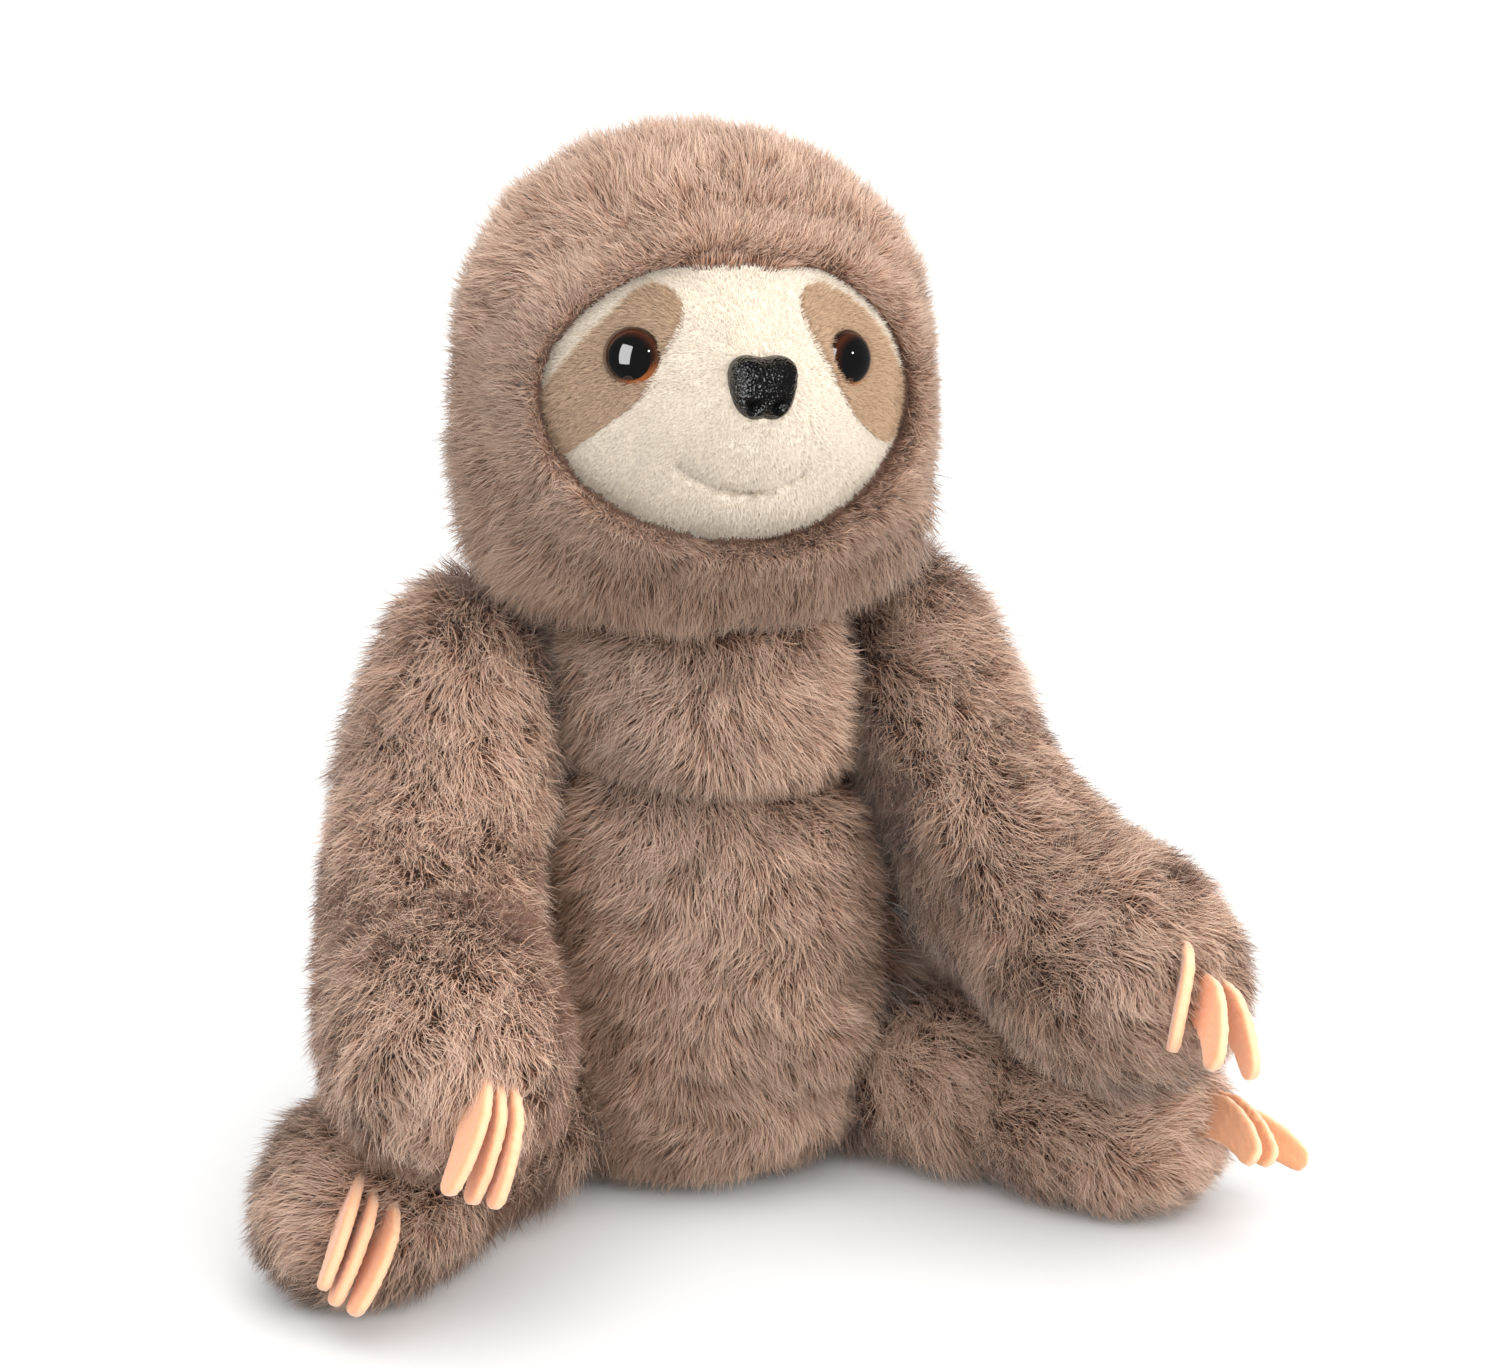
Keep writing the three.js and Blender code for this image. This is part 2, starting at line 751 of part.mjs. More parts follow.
// The line through a leg's middle, lying on the ground from behind the hip to the end of the foot.
function legSpine(side, splay) {
  const ahead = new THREE.Vector3(side * Math.sin(splay * degree), -Math.cos(splay * degree), 0);
  const middle = new THREE.Vector3(side * hip.x, -hip.forward, hipZ);
  const back = middle.clone().addScaledVector(ahead, -leg.radius);
  const tip = middle.clone().addScaledVector(ahead, leg.length);
  tip.z = leg.radius * legShares[legShares.length - 1][1] - seatFlat;
  return new THREE.CatmullRomCurve3([back, middle, tip]);
}

// A limb: its skin, the filling that reaches its seat through the port, and its three claws.
function limbPieces({ kind, name, side, spine, size, shares, pivot, seat, port, claws, room }) {
  const seatOut = seat + gap;
  const form = (inset, mesh) => limbForm(spine, size.radius, shares, inset, mesh);
  const hollow = form(furDepth, core).add(portBeside(side, pivot, seat, port));
  const filling = form(furDepth + gap, core).add(
    portBeside(side, pivot, seatOut, port - gap),
  );
  const endRadius = shares[shares.length - 1][1] * size.radius;
  const middle = spine.getPointAt(1).addScaledVector(spine.getTangentAt(1), -endRadius);
  const clawAt = (pose, margin) => setClaw(side, middle, endRadius, pose, margin);
  const grown = claws.map((pose) => clawAt(pose, gap));
  const skin = form(0, limb).intersect(room).subtract(hollow).subtract(below(0));
  return [
    pieceOf(`${kind}_skin_${name}`, grown.reduce((solid, slot) => solid.subtract(slot), skin), "fur"),
    pieceOf(`${kind}_filling_${name}`, filling.intersect(room), "filling"),
    ...claws.map((pose, index) =>
      pieceOf(`${kind}_claw_${name}_${index + 1}`, clawAt(pose, 0), "felt"),
    ),
  ];
}

function armPieces(name, side) {
  return limbPieces({
    kind: "arm",
    name,
    side,
    spine: armSpine(side, armPose[name]),
    size: arm,
    shares: armShares,
    pivot: shoulderPivot,
    seat: torso.shoulderSide,
    port: shoulder.portRadius,
    claws: armClaws[name],
    room: roomBeside(
      side,
      shoulderPivot,
      torso.shoulderSide,
      arm.radius,
      torso.shoulderSpread,
      -gap,
    ),
  });
}

function legPieces(name, side) {
  return limbPieces({
    kind: "leg",
    name,
    side,
    spine: legSpine(side, legSplay[name]),
    size: leg,
    shares: legShares,
    pivot: hipPivot,
    seat: torso.hipSide,
    port: hip.portRadius,
    claws: legClaws[name],
    room: roomBeside(side, hipPivot, torso.hipSide, leg.radius + gap, 0, -gap),
  });
}

const sloth = new THREE.Group();
sloth.add(...torsoPieces(), ...headPieces());
for (const [name, side] of [["left", 1], ["right", -1]]) {
  sloth.add(...armPieces(name, side), ...legPieces(name, side));
}

export default sloth;
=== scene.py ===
"""A seated plush sloth: long combed fur, a short-pile face, domed eyes, a moulded nose, felt claws."""

import logging
import math
from dataclasses import dataclass, field
from enum import Enum
from typing import Callable, Sequence

import bmesh
import bpy
import numpy as np
from mathutils import Matrix, Vector


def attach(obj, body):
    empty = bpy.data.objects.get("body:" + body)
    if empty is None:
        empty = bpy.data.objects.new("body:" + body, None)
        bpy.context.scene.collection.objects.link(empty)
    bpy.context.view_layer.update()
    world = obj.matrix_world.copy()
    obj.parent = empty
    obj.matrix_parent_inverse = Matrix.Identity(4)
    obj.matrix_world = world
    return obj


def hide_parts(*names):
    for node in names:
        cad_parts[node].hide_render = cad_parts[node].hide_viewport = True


Colour = tuple[float, float, float, float]
Place = tuple[float, float, float]
Points = np.ndarray
Comb = Callable[[Points, Points], Points]

LOG = logging.getLogger("plush_sloth")
MM = 0.001

# The distances that join loose triangles, in metres for the solids and in millimetres for what is
# spun, and for a stuffed form the strength of one smoothing and the number of presses and of
# smoothings after them.
MERGE_CAD = 1e-6
MERGE_SPUN = 1e-4
SMOOTH_FACTOR = 0.5
PRESSES = 2
LAST_SMOOTHINGS = 4

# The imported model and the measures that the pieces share, in millimetres and degrees.
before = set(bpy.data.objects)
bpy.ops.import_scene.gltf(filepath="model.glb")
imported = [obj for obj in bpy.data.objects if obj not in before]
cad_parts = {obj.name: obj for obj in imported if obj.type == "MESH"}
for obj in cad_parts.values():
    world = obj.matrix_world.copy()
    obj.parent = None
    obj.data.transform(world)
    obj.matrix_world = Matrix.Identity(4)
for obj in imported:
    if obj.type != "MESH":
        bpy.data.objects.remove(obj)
NECK_Z = 155.0
HEAD_MIDDLE = (0.0, 0.0, 210.5)
HEAD_LOOKS_UP = 8.0
HEAD_TILT = 4.0
FACE_Z = 208.5
FACE_HALF_WIDTH = 48.7
FACE_HALF_HEIGHT = 35.7


class Side(Enum):
    """The two sides of the sloth, by the sign of x."""

    LEFT = 1
    RIGHT = -1

    @property
    def word(self) -> str:
        """The side's name as it stands in piece names."""
        return self.name.lower()


def srgb(code: str) -> Colour:
    """Turns a screen colour into the linear one that shaders take.

    Args:
        code: Six hexadecimal digits after a hash sign.

    Returns:
        Linear red, green, blue and a full alpha.
    """
    parts = [int(code[i:i + 2], 16) / 255 for i in (1, 3, 5)]
    linear = [p / 12.92 if p <= 0.04045 else ((p + 0.055) / 1.055) ** 2.4 for p in parts]
    return (linear[0], linear[1], linear[2], 1.0)


# Shader maths.


class Wire:
    """A node socket that adds Math nodes when it stands in an expression."""

    def __init__(self, board: "Board", socket: bpy.types.NodeSocket) -> None:
        """Keeps the board and the socket."""
        self.board = board
        self.socket = socket

    def _math(self, operation: str, *terms: "Wire | float") -> "Wire":
        """Adds one Math node over the given terms."""
        return self.board.add("ShaderNodeMath", {"operation": operation}, dict(enumerate(terms)))

    def __add__(self, other: "Wire | float") -> "Wire":
        """Sum."""
        return self._math("ADD", self, other)

    __radd__ = __add__

    def __sub__(self, other: "Wire | float") -> "Wire":
        """Difference."""
        return self._math("SUBTRACT", self, other)

    def __rsub__(self, other: float) -> "Wire":
        """Difference from a number."""
        return self._math("SUBTRACT", other, self)

    def __mul__(self, other: "Wire | float") -> "Wire":
        """Product."""
        return self._math("MULTIPLY", self, other)

    __rmul__ = __mul__

    def __pow__(self, other: float) -> "Wire":
        """Power."""
        return self._math("POWER", self, other)

    def kept(self) -> "Wire":
        """The value kept between 0 and 1."""
        return self.board.add("ShaderNodeClamp", {}, {0: self})


class Board:
    """The node tree of one material, in which one method makes every node."""

    def __init__(self, name: str) -> None:
        """Starts an empty material of this name.

        Args:
            name: The material's name.
        """
        self.material = bpy.data.materials.new(name)
        self.material.use_nodes = True
        self.tree = self.material.node_tree
        self.tree.nodes.clear()

    def add(self, kind: str, settings: dict | None = None, sockets: dict | None = None,
            output: int = 0) -> Wire:
        """Adds a node, sets it and gives one of its outputs.

        Args:
            kind: The node's type.
            settings: Its properties, set first; "stops" holds a ramp's places and colours.
            sockets: Values or wires for its inputs, by number or name.
            output: Which output is wanted.

        Returns:
            The wire of that output.
        """
        node = self.tree.nodes.new(kind)
        for name, value in (settings or {}).items():
            if name == "stops":
                self._set_ramp(node.color_ramp, value)
            else:
                setattr(node, name, value)
        for key, value in (sockets or {}).items():
            if isinstance(value, Wire):
                self.tree.links.new(value.socket, node.inputs[key])
            else:
                node.inputs[key].default_value = value
        return Wire(self, node.outputs[output])

    @staticmethod
    def _set_ramp(ramp: bpy.types.ColorRamp, stops: Sequence[tuple[float, Colour]]) -> None:
        """Gives a colour ramp its stops.

        Args:
            ramp: The node's ramp.
            stops: Its places and colours.
        """
        while len(ramp.elements) < len(stops):
            ramp.elements.new(1.0)
        for element, (place, colour) in zip(ramp.elements, stops):
            element.position = place
            element.color = colour

    def mix(self, factor: Wire | float, first: Wire | Colour, second: Wire | Colour,
            blend: str = "MIX") -> Wire:
        """Mixes two colours, which are a Mix node's inputs 6 and 7 and its output 2."""
        settings = {"data_type": "RGBA", "blend_type": blend}
        return self.add("ShaderNodeMix", settings, {0: factor, 6: first, 7: second}, 2)

    def place(self) -> Wire:
        """Object coordinates."""
        return self.add("ShaderNodeTexCoord", output=3)

    def value_of(self, attribute: str) -> Wire:
        """A number that the piece's mesh holds at each point."""
        return self.add("ShaderNodeAttribute", {"attribute_name": attribute}, output=2)

    def noise(self, scale: float, detail: float = 3.0, roughness: float = 0.5) -> Wire:
        """Noise between 0 and 1 over the object's place."""
        return self.add("ShaderNodeTexNoise", {}, {"Vector": self.place(), "Scale": scale,
                                                   "Detail": detail, "Roughness": roughness})

    def bump(self, height: Wire, distance: float, strength: float = 1.0) -> Wire:
        """A bump from a height that runs from 0 to 1."""
        return self.add("ShaderNodeBump", {}, {"Height": height, "Distance": distance,
                                               "Strength": strength})

    def surface(self, sockets: dict) -> bpy.types.Material:
        """Ends the tree in one Principled shader.

        Args:
            sockets: Values or wires for the shader's inputs.

        Returns:
            The finished material.
        """
        shader = self.add("ShaderNodeBsdfPrincipled", {}, sockets)
        end = self.tree.nodes.new("ShaderNodeOutputMaterial")
        self.tree.links.new(shader.socket, end.inputs["Surface"])
        return self.material


# Finishes.


@dataclass(frozen=True)
class FurFinish:
    """Dyed acrylic fibre: dark at the root, pale at the tip, with darker and paler hairs."""

    name: str
    root: str
    middle: str
    tip: str
    dark: float = 0.62
    sheen: float = 0.25

    def material(self) -> bpy.types.Material:
        """Colours a hair by its own map: along it, and by its key across.

        Returns:
            The finished material.
        """
        board = Board(self.name)
        chart = board.add("ShaderNodeUVMap", {"uv_map": "OFBake"})
        key = board.add("ShaderNodeSeparateXYZ", {}, {0: chart}, 0)
        along = board.add("ShaderNodeSeparateXYZ", {}, {0: chart}, 1)
        pale = board.add("ShaderNodeValToRGB", {"stops": [
            (0.0, srgb(self.root)), (0.45, srgb(self.middle)), (0.92, srgb(self.tip))]}, {0: along})
        deep = board.mix(1.0, pale, (self.dark, self.dark * 0.96, self.dark * 0.92, 1.0), "MULTIPLY")
        return board.surface({"Base Color": board.mix(key, deep, pale), "Roughness": 0.62,
                              "Sheen Weight": self.sheen, "Sheen Roughness": 0.4,
                              "Specular IOR Level": 0.35})


@dataclass(frozen=True)
class ClothFinish:
    """Knitted backing cloth with the stubble of hair roots on it."""

    name: str
    ground: str
    shade: str
    grain: float = 900.0

    def material(self) -> bpy.types.Material:
        """Mottles the cloth and raises its grain.

        Returns:
            The finished material.
        """
        board = Board(self.name)
        mottle = board.noise(60.0, 4.0)
        grain = board.noise(self.grain, 2.0)
        colour = board.mix((mottle * 0.6 + grain * 0.5).kept(), srgb(self.shade), srgb(self.ground))
        return board.surface({"Base Color": colour, "Roughness": 0.9,
                              "Normal": board.bump(grain, 0.0004), "Sheen Weight": 0.3})


@dataclass(frozen=True)
class FeltFinish:
    """Pressed wool felt: matted fibres, with painted light: paler on the edges, as if lit, and deeper
    on the flats, as if in shade.
    """

    name: str
    face: str
    # The paler colour, painted on the edges as light.
    edge: str

    def material(self) -> bpy.types.Material:
        """Mats the fibres and paints the edges paler than the flats, as light and shade would.

        Returns:
            The finished material.
        """
        board = Board(self.name)
        fibre = board.noise(1400.0, 5.0, 0.7)
        matted = board.noise(260.0, 4.0, 0.65)
        # Painted light: the edges take the paler colour as lit, the flats the deeper one as shaded,
        # broken up by the matting.
        cut = (board.value_of("cut_edge") * 0.9 + (matted - 0.5) * 0.5).kept()
        colour = board.mix(cut, srgb(self.face), srgb(self.edge))
        flecked = board.mix((fibre * 0.5).kept(), colour, (0.86, 0.80, 0.74, 1.0), "MULTIPLY")
        height = fibre * 0.5 + matted * 0.5
        return board.surface({"Base Color": flecked, "Roughness": 0.92,
                              "Normal": board.bump(height, 0.0005), "Sheen Weight": 0.5,
                              "Sheen Roughness": 0.5})


@dataclass(frozen=True)
class EyeFinish:
    """Clear amber plastic with a black pupil behind it, and painted light: a bright orange low in the
    amber ring.
    """

    name: str

    def material(self) -> bpy.types.Material:
        """Colours the dome by its distance from the middle, and paints light shining through low on
        the ring.

        Returns:
            The finished material.
        """
        board = Board(self.name)
        ring = board.value_of("ring")
        low = board.value_of("low")
        streak = board.noise(700.0, 3.0)
        amber = board.add("ShaderNodeValToRGB", {"stops": [
            (0.66, srgb("#0a0403")), (0.76, srgb("#1d0b05")), (0.88, srgb("#3c1a0b")),
            (0.95, srgb("#200d06")), (1.0, srgb("#0d0504"))]}, {0: ring})
        # Painted light: an orange glow low on the ring, as of light through the amber dome, streaked a
        # little.
        glow = ((low * 1.25 - 0.35).kept() ** 2.0) * (streak * 0.5 + 0.75)
        lit = board.mix(glow.kept(), amber, srgb("#d8701c"))
        inner = board.add("ShaderNodeMapRange", {}, {0: ring, 1: 0.69, 2: 0.72}, 0)
        colour = board.mix(inner, srgb("#050404"), lit)
        smear = board.noise(220.0, 3.0)
        return board.surface({"Base Color": colour, "Roughness": 0.03 + 0.05 * smear,
                              "Coat Weight": 1.0, "Coat Roughness": 0.02, "IOR": 1.49})


@dataclass(frozen=True)
class PlasticFinish:
    """Moulded plastic with a fine grain in its gloss."""

    name: str
    colour: str
    shade: str
    roughness: float
    pebble: float = 900.0
    depth: float = 0.00008
    coat: float = 0.0

    def material(self) -> bpy.types.Material:
        """Mottles the colour and the gloss, and raises the grain.

        Returns:
            The finished material.
        """
        board = Board(self.name)
        cloud = board.noise(90.0, 3.0)
        pebble = board.add("ShaderNodeTexVoronoi", {"feature": "SMOOTH_F1"},
                           {"Vector": board.place(), "Scale": self.pebble})
        colour = board.mix(cloud, srgb(self.shade), srgb(self.colour))
        rough = (self.roughness + (cloud - 0.5) * 0.12).kept()
        return board.surface({"Base Color": colour, "Roughness": rough,
                              "Normal": board.bump(pebble, self.depth, 0.8),
                              "Coat Weight": self.coat, "Coat Roughness": 0.08})


@dataclass(frozen=True)
class FloorFinish:
    """Matt white studio paper."""

    name: str
    colour: str
    light: str

    def material(self) -> bpy.types.Material:
        """Plain paper with the faintest mottle.

        Returns:
            The finished material.
        """
        board = Board(self.name)
        paper = board.noise(6.0, 2.0)
        colour = board.mix(paper, srgb(self.colour), srgb(self.light))
        return board.surface({"Base Color": colour, "Roughness": 0.9})


TAUPE_FUR = FurFinish("taupe_fur", "#5b3625", "#ac8168", "#e1c4ae", dark=0.5)
CREAM_PILE = FurFinish("cream_pile", "#c0b09a", "#d8cdbd", "#e3dacc", dark=0.93, sheen=0.1)
BEIGE_PILE = FurFinish("beige_pile", "#7a5c44", "#aa8b6e", "#caad8f", dark=0.8, sheen=0.1)
FUR_CLOTH = ClothFinish("fur_cloth", "#6b4d3d", "#4a3226")
CREAM_CLOTH = ClothFinish("cream_cloth", "#ece1d0", "#dccdb8", 2200.0)
BEIGE_CLOTH = ClothFinish("beige_cloth", "#a58a70", "#8b7058", 2200.0)
SACK_CLOTH = ClothFinish("sack_cloth_weave", "#e8e2d4", "#cfc7b6", 1500.0)
# The claws' flats take the first colour and their edges the second, paler one, which is painted light.
CLAW_FELT = FeltFinish("claw_felt_wool", "#e29f72", "#e9ba93")
AMBER_EYE = EyeFinish("amber_eye")
NOSE_PLASTIC = PlasticFinish("nose_moulding", "#0b0b0b", "#040404", 0.17, 1500.0, 0.0009, 0.1)
LOCK_PLASTIC = PlasticFinish("lock_washer_plastic", "#e9e7e0", "#d5d2c8", 0.45)
STUDIO_PAPER = FloorFinish("studio_paper", "#cfcfcf", "#d6d6d6")


# Meshes.


def head_pose() -> Matrix:
    """The turn of the head about its middle, in millimetres: it looks up and leans to one side.

    Returns:
        The matrix of that turn.
    """
    to_middle = Matrix.Translation(Vector(HEAD_MIDDLE))
    turn = Matrix.Rotation(math.radians(HEAD_TILT), 4, "Y")
    nod = Matrix.Rotation(math.radians(-HEAD_LOOKS_UP), 4, "X")
    return to_middle @ turn @ nod @ to_middle.inverted()


def moved(points: Points, matrix: Matrix) -> Points:
    """Points moved by a matrix."""
    grid = np.array(matrix)
    return points @ grid[:3, :3].T + grid[:3, 3]


def normed(vectors: Points) -> Points:
    """Vectors brought to length one."""
    return vectors / np.maximum(np.linalg.norm(vectors, axis=-1, keepdims=True), 1e-9)


def placed(name: str, data: bpy.types.ID) -> bpy.types.Object:
    """Puts a new object with this mesh, light or camera into the scene.

    Args:
        name: The object's name.
        data: What it shows.

    Returns:
        The new object.
    """
    thing = bpy.data.objects.new(name, data)
    bpy.context.scene.collection.objects.link(thing)
    return thing


def laid_flat(flow: Points, facing: Points) -> Points:
    """Directions laid flat on cloth that faces these ways."""
    return flow - facing * (flow * facing).sum(1, keepdims=True)


def finished(name: str, shape: bmesh.types.BMesh, material: bpy.types.Material) -> bpy.types.Object:
    """Turns a bmesh in metres into a smooth piece with one material.

    Args:
        name: The piece's name.
        shape: The mesh, which is freed.
        material: Its finish.

    Returns:
        The new object, at the origin.
    """
    mesh = bpy.data.meshes.new(name)
    shape.to_mesh(mesh)
    shape.free()
    mesh.materials.append(material)
    mesh.polygons.foreach_set("use_smooth", np.ones(len(mesh.polygons), bool))
    return placed(name, mesh)


def in_order(piece: bpy.types.Object) -> bpy.types.Object:
    """Lists a new piece's faces in one order, which some operators change from run to run.

    Args:
        piece: The piece, before any value is written on it.

    Returns:
        The same piece.
    """
    mesh = piece.data
    points = [tuple(vert.co) for vert in mesh.vertices]
    faces = []
    for face in mesh.polygons:
        corners = list(face.vertices)
        first = corners.index(min(corners))
        faces.append(corners[first:] + corners[:first])
    mesh.clear_geometry()
    mesh.from_pydata(points, [], sorted(faces))
    mesh.polygons.foreach_set("use_smooth", np.ones(len(faces), bool))
    mesh.update()
    return piece


def declare(piece: bpy.types.Object, body: str, stands_for: Sequence[str] = ()) -> None:
    """Tells the frame what a piece stands for and what carries it.

    Args:
        piece: The finished piece.
        body: The body that it rides on.
        stands_for: The CAD nodes that it replaces.
    """
    if stands_for:
        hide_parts(*stands_for)
    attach(piece, body)


def points_of(mesh: bpy.types.Mesh) -> Points:
    """A mesh's points as rows, in millimetres.

    Args:
        mesh: The piece's mesh.

    Returns:
        One row for each point.
    """
    flat = np.empty(len(mesh.vertices) * 3, np.float32)
    mesh.vertices.foreach_get("co", flat)
    return flat.reshape(-1, 3).astype(float) / MM


def set_points(mesh: bpy.types.Mesh, points: Points) -> None:
    """Gives a mesh new points, in millimetres."""
    mesh.vertices.foreach_set("co", (points * MM).astype(np.float32).ravel())
    mesh.update()


def normals_of(mesh: bpy.types.Mesh) -> Points:
    """A mesh's normals at its points.

    Args:
        mesh: The piece's mesh.

    Returns:
        One direction for each point.
    """
    flat = np.empty(len(mesh.vertices) * 3, np.float32)
    mesh.vertex_normals.foreach_get("vector", flat)
    return flat.reshape(-1, 3).astype(float)


def set_value(mesh: bpy.types.Mesh, name: str, values: Points) -> None:
    """Writes a number for each point of a mesh."""
    layer = mesh.attributes.new(name, "FLOAT", "POINT")
    layer.data.foreach_set("value", values.astype(np.float32))


def main_shell(shape: bmesh.types.BMesh) -> None:
    """Leaves only the largest of a bmesh's separate shells.

    Args:
        shape: The mesh, which loses the others.
    """
    shells: list[list[bmesh.types.BMVert]] = []
    seen: set[bmesh.types.BMVert] = set()
    for start in shape.verts:
        if start in seen:
            continue
        seen.add(start)
        shell = [start]
        for vert in shell:
            for edge in vert.link_edges:
                other = edge.other_vert(vert)
                if other not in seen:
                    seen.add(other)
                    shell.append(other)
        shells.append(shell)
    shells.sort(key=len)
    for shell in shells[:-1]:
        bmesh.ops.delete(shape, geom=shell, context="VERTS")


def smoothed_again(mesh: bpy.types.Mesh) -> None:
    """Evens out a form whose places were pressed in by unequal shares.

    Args:
        mesh: The piece's mesh.
    """
    shape = bmesh.new()
    shape.from_mesh(mesh)
    for _ in range(LAST_SMOOTHINGS):
        bmesh.ops.smooth_vert(shape, verts=shape.verts, factor=SMOOTH_FACTOR, use_axis_x=True,
                              use_axis_y=True, use_axis_z=True)
    shape.to_mesh(mesh)
    shape.free()


def stuffed(name: str, nodes: Sequence[str], voxel: float, pressed: float, rounds: int,
            material: bpy.types.Material,
            held: Callable[[Points], Points] | None = None) -> bpy.types.Object:
    """Makes one soft closed form from the CAD solids that it stands for.

    Args:
        name: The piece's name.
        nodes: The CAD nodes whose solids are joined.
        voxel: The remesh size in millimetres.
        pressed: How far its surface then moves inwards, in millimetres.
        rounds: How often it is smoothed.
        material: Its finish.
        held: How much of that move each place takes, where 1 is all of it, after which the form is
            smoothed again.

    Returns:
        The new piece.
    """
    joined = bmesh.new()
    for node in nodes:
        joined.from_mesh(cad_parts[node].data)
    bmesh.ops.remove_doubles(joined, verts=joined.verts, dist=MERGE_CAD)
    rough = finished(name + "_rough", joined, material)
    remesh = rough.modifiers.new("joined", "REMESH")
    remesh.mode = "VOXEL"
    remesh.voxel_size = voxel * MM
    soften = rough.modifiers.new("soften", "SMOOTH")
    soften.iterations = rounds
    soften.factor = SMOOTH_FACTOR
    graph = bpy.context.evaluated_depsgraph_get()
    shape = bmesh.new()
    shape.from_object(rough, graph)
    bpy.data.objects.remove(rough)
    main_shell(shape)
    bmesh.ops.recalc_face_normals(shape, faces=shape.faces)
    piece = finished(name, shape, material)
    share = np.ones(len(piece.data.vertices)) if held is None else held(points_of(piece.data))
    for _ in range(PRESSES):
        inward = normals_of(piece.data) * (pressed / PRESSES * share)[:, None]
        set_points(piece.data, points_of(piece.data) - inward)
    if held is not None:
        smoothed_again(piece.data)
    return piece


# Fur.


# The lengths and the gain of drifting values, and how a tuft's middle is drawn from its cell.
WAVE_SPREAD = (0.7, 1.4)
WAVE_GAIN = 1.6
CELL_PRIMES = np.array([73856093, 19349663, 83492791])
SEED_PRIME = 2654435761
CELL_CODES = 0x7FFFFFFF
JITTER_STEPS = 1013
JITTER_TURNS = (7, 31, 127)

# How far single hairs differ from their coat, as shares of its length, width and gather.
LENGTH_SPREAD = (0.72, 1.12)
WIDTH_SPREAD = (0.75, 1.25)
GATHER_SPREAD = (0.6, 1.25)
# How much a hair strays sideways, and rises or sinks with its neighbours and by itself, in radians.
STRAY = 0.02
SWELL_LENGTH = 14.0
SWELL = 0.22
RISE = 0.14
# Tufts gather on two scales: their size and strength, how close the tips come, how late along the
# hair they start and where they end.
TUFT_SCALES = ((1.0, 1.0), (2.4, 0.4))
TUFT_CLOSE = 0.3
TUFT_BEND = 1.3
TUFT_LIMIT = 0.95
# The lowest hairs' distance from the floor and its spread, in millimetres.
FLOOR_GAP = 0.4
FLOOR_SPREAD = 0.5
# How much of the dark and pale a tuft shares, and the ends of that scale.
TUFT_TONE = 0.2
TONE_ENDS = (0.02, 0.98)
# The shading follows the cloth, and these shares of the hair's own outward and side directions.
SHADE_OUTWARD = 0.45
SHADE_SIDE = 0.15
# How a ribbon narrows to its tip, and its width in the map.
TAPER = 0.85
TAPER_BEND = 2.2
MAP_WIDTH = 0.006


@dataclass
class Ground:
    """The triangles of a form, on which hairs take root."""

    piece: bpy.types.Object
    corners: Points = field(init=False)
    turned: Points = field(init=False)
    area: Points = field(init=False)

    def __post_init__(self) -> None:
        """Reads the form's triangles once."""
        mesh = self.piece.data
        mesh.calc_loop_triangles()
        flat = np.empty(len(mesh.loop_triangles) * 3, np.int32)
        mesh.loop_triangles.foreach_get("vertices", flat)
        places = points_of(mesh)
        normals = normals_of(mesh)
        self.corners = places[flat.reshape(-1, 3)]
        self.turned = normals[flat.reshape(-1, 3)]
        sides = self.corners[:, 1:] - self.corners[:, :1]
        self.area = np.linalg.norm(np.cross(sides[:, 0], sides[:, 1]), axis=1) / 2

    def scatter(self, per_area: float, rng: np.random.Generator) -> tuple[Points, Points]:
        """Draws roots evenly over the form.

        Args:
            per_area: Hairs for each square millimetre.
            rng: The seeded source of chance.

        Returns:
            The roots and the directions that the surface faces there.
        """
        count = int(per_area * self.area.sum())
        pick = rng.choice(len(self.area), count, p=self.area / self.area.sum())
        share = rng.random((count, 2))
        over = share.sum(1) > 1
        share[over] = 1 - share[over]
        weights = np.column_stack([1 - share.sum(1), share])[:, :, None]
        return (self.corners[pick] * weights).sum(1), normed((self.turned[pick] * weights).sum(1))


def drift(points: Points, length: float, seed: int, waves: int = 5) -> Points:
    """A smooth value between about -1 and 1 that drifts over a length.

    Args:
        points: Where it is wanted, in millimetres.
        length: The length of its main wave.
        seed: Which drift.
        waves: How many waves it adds up.

    Returns:
        One number for each point.
    """
    rng = np.random.default_rng(seed)
    total = np.zeros(len(points))
    for _ in range(waves):
        way = normed(rng.normal(size=3)) * (2 * math.pi / (length * rng.uniform(*WAVE_SPREAD)))
        total += np.sin(points @ way + rng.uniform(0, 2 * math.pi))
    return total / waves * WAVE_GAIN


def cell_of(points: Points, size: float, seed: int) -> Points:
    """Numbers the tuft that each point belongs to, by the nearest of scattered middles.

    Args:
        points: Where the hairs are rooted, in millimetres.
        size: The tufts' size in millimetres.
        seed: Which scatter of middles.

    Returns:
        One whole number from 0 upwards for each point.
    """
    base = np.floor(points / size).astype(np.int64)
    best = np.full(len(points), 1e9)
    chosen = np.zeros(len(points), np.int64)
    for step in np.ndindex(3, 3, 3):
        cell = base + np.array(step) - 1
        code = np.bitwise_xor.reduce(cell * CELL_PRIMES, axis=1)
        code = (code + seed * SEED_PRIME) & CELL_CODES
        jitter = np.column_stack([(code * k % JITTER_STEPS) / JITTER_STEPS for k in JITTER_TURNS])
        away = np.linalg.norm(points - (cell + jitter) * size, axis=1)
        near = away < best
        best[near] = away[near]
        chosen[near] = code[near]
    return np.unique(chosen, return_inverse=True)[1]


def chance_of(cells: Points, seed: int) -> Points:
    """One number between -1 and 1 for each cell, given back for each row."""
    return np.random.default_rng(seed).uniform(-1, 1, cells.max() + 1)[cells]


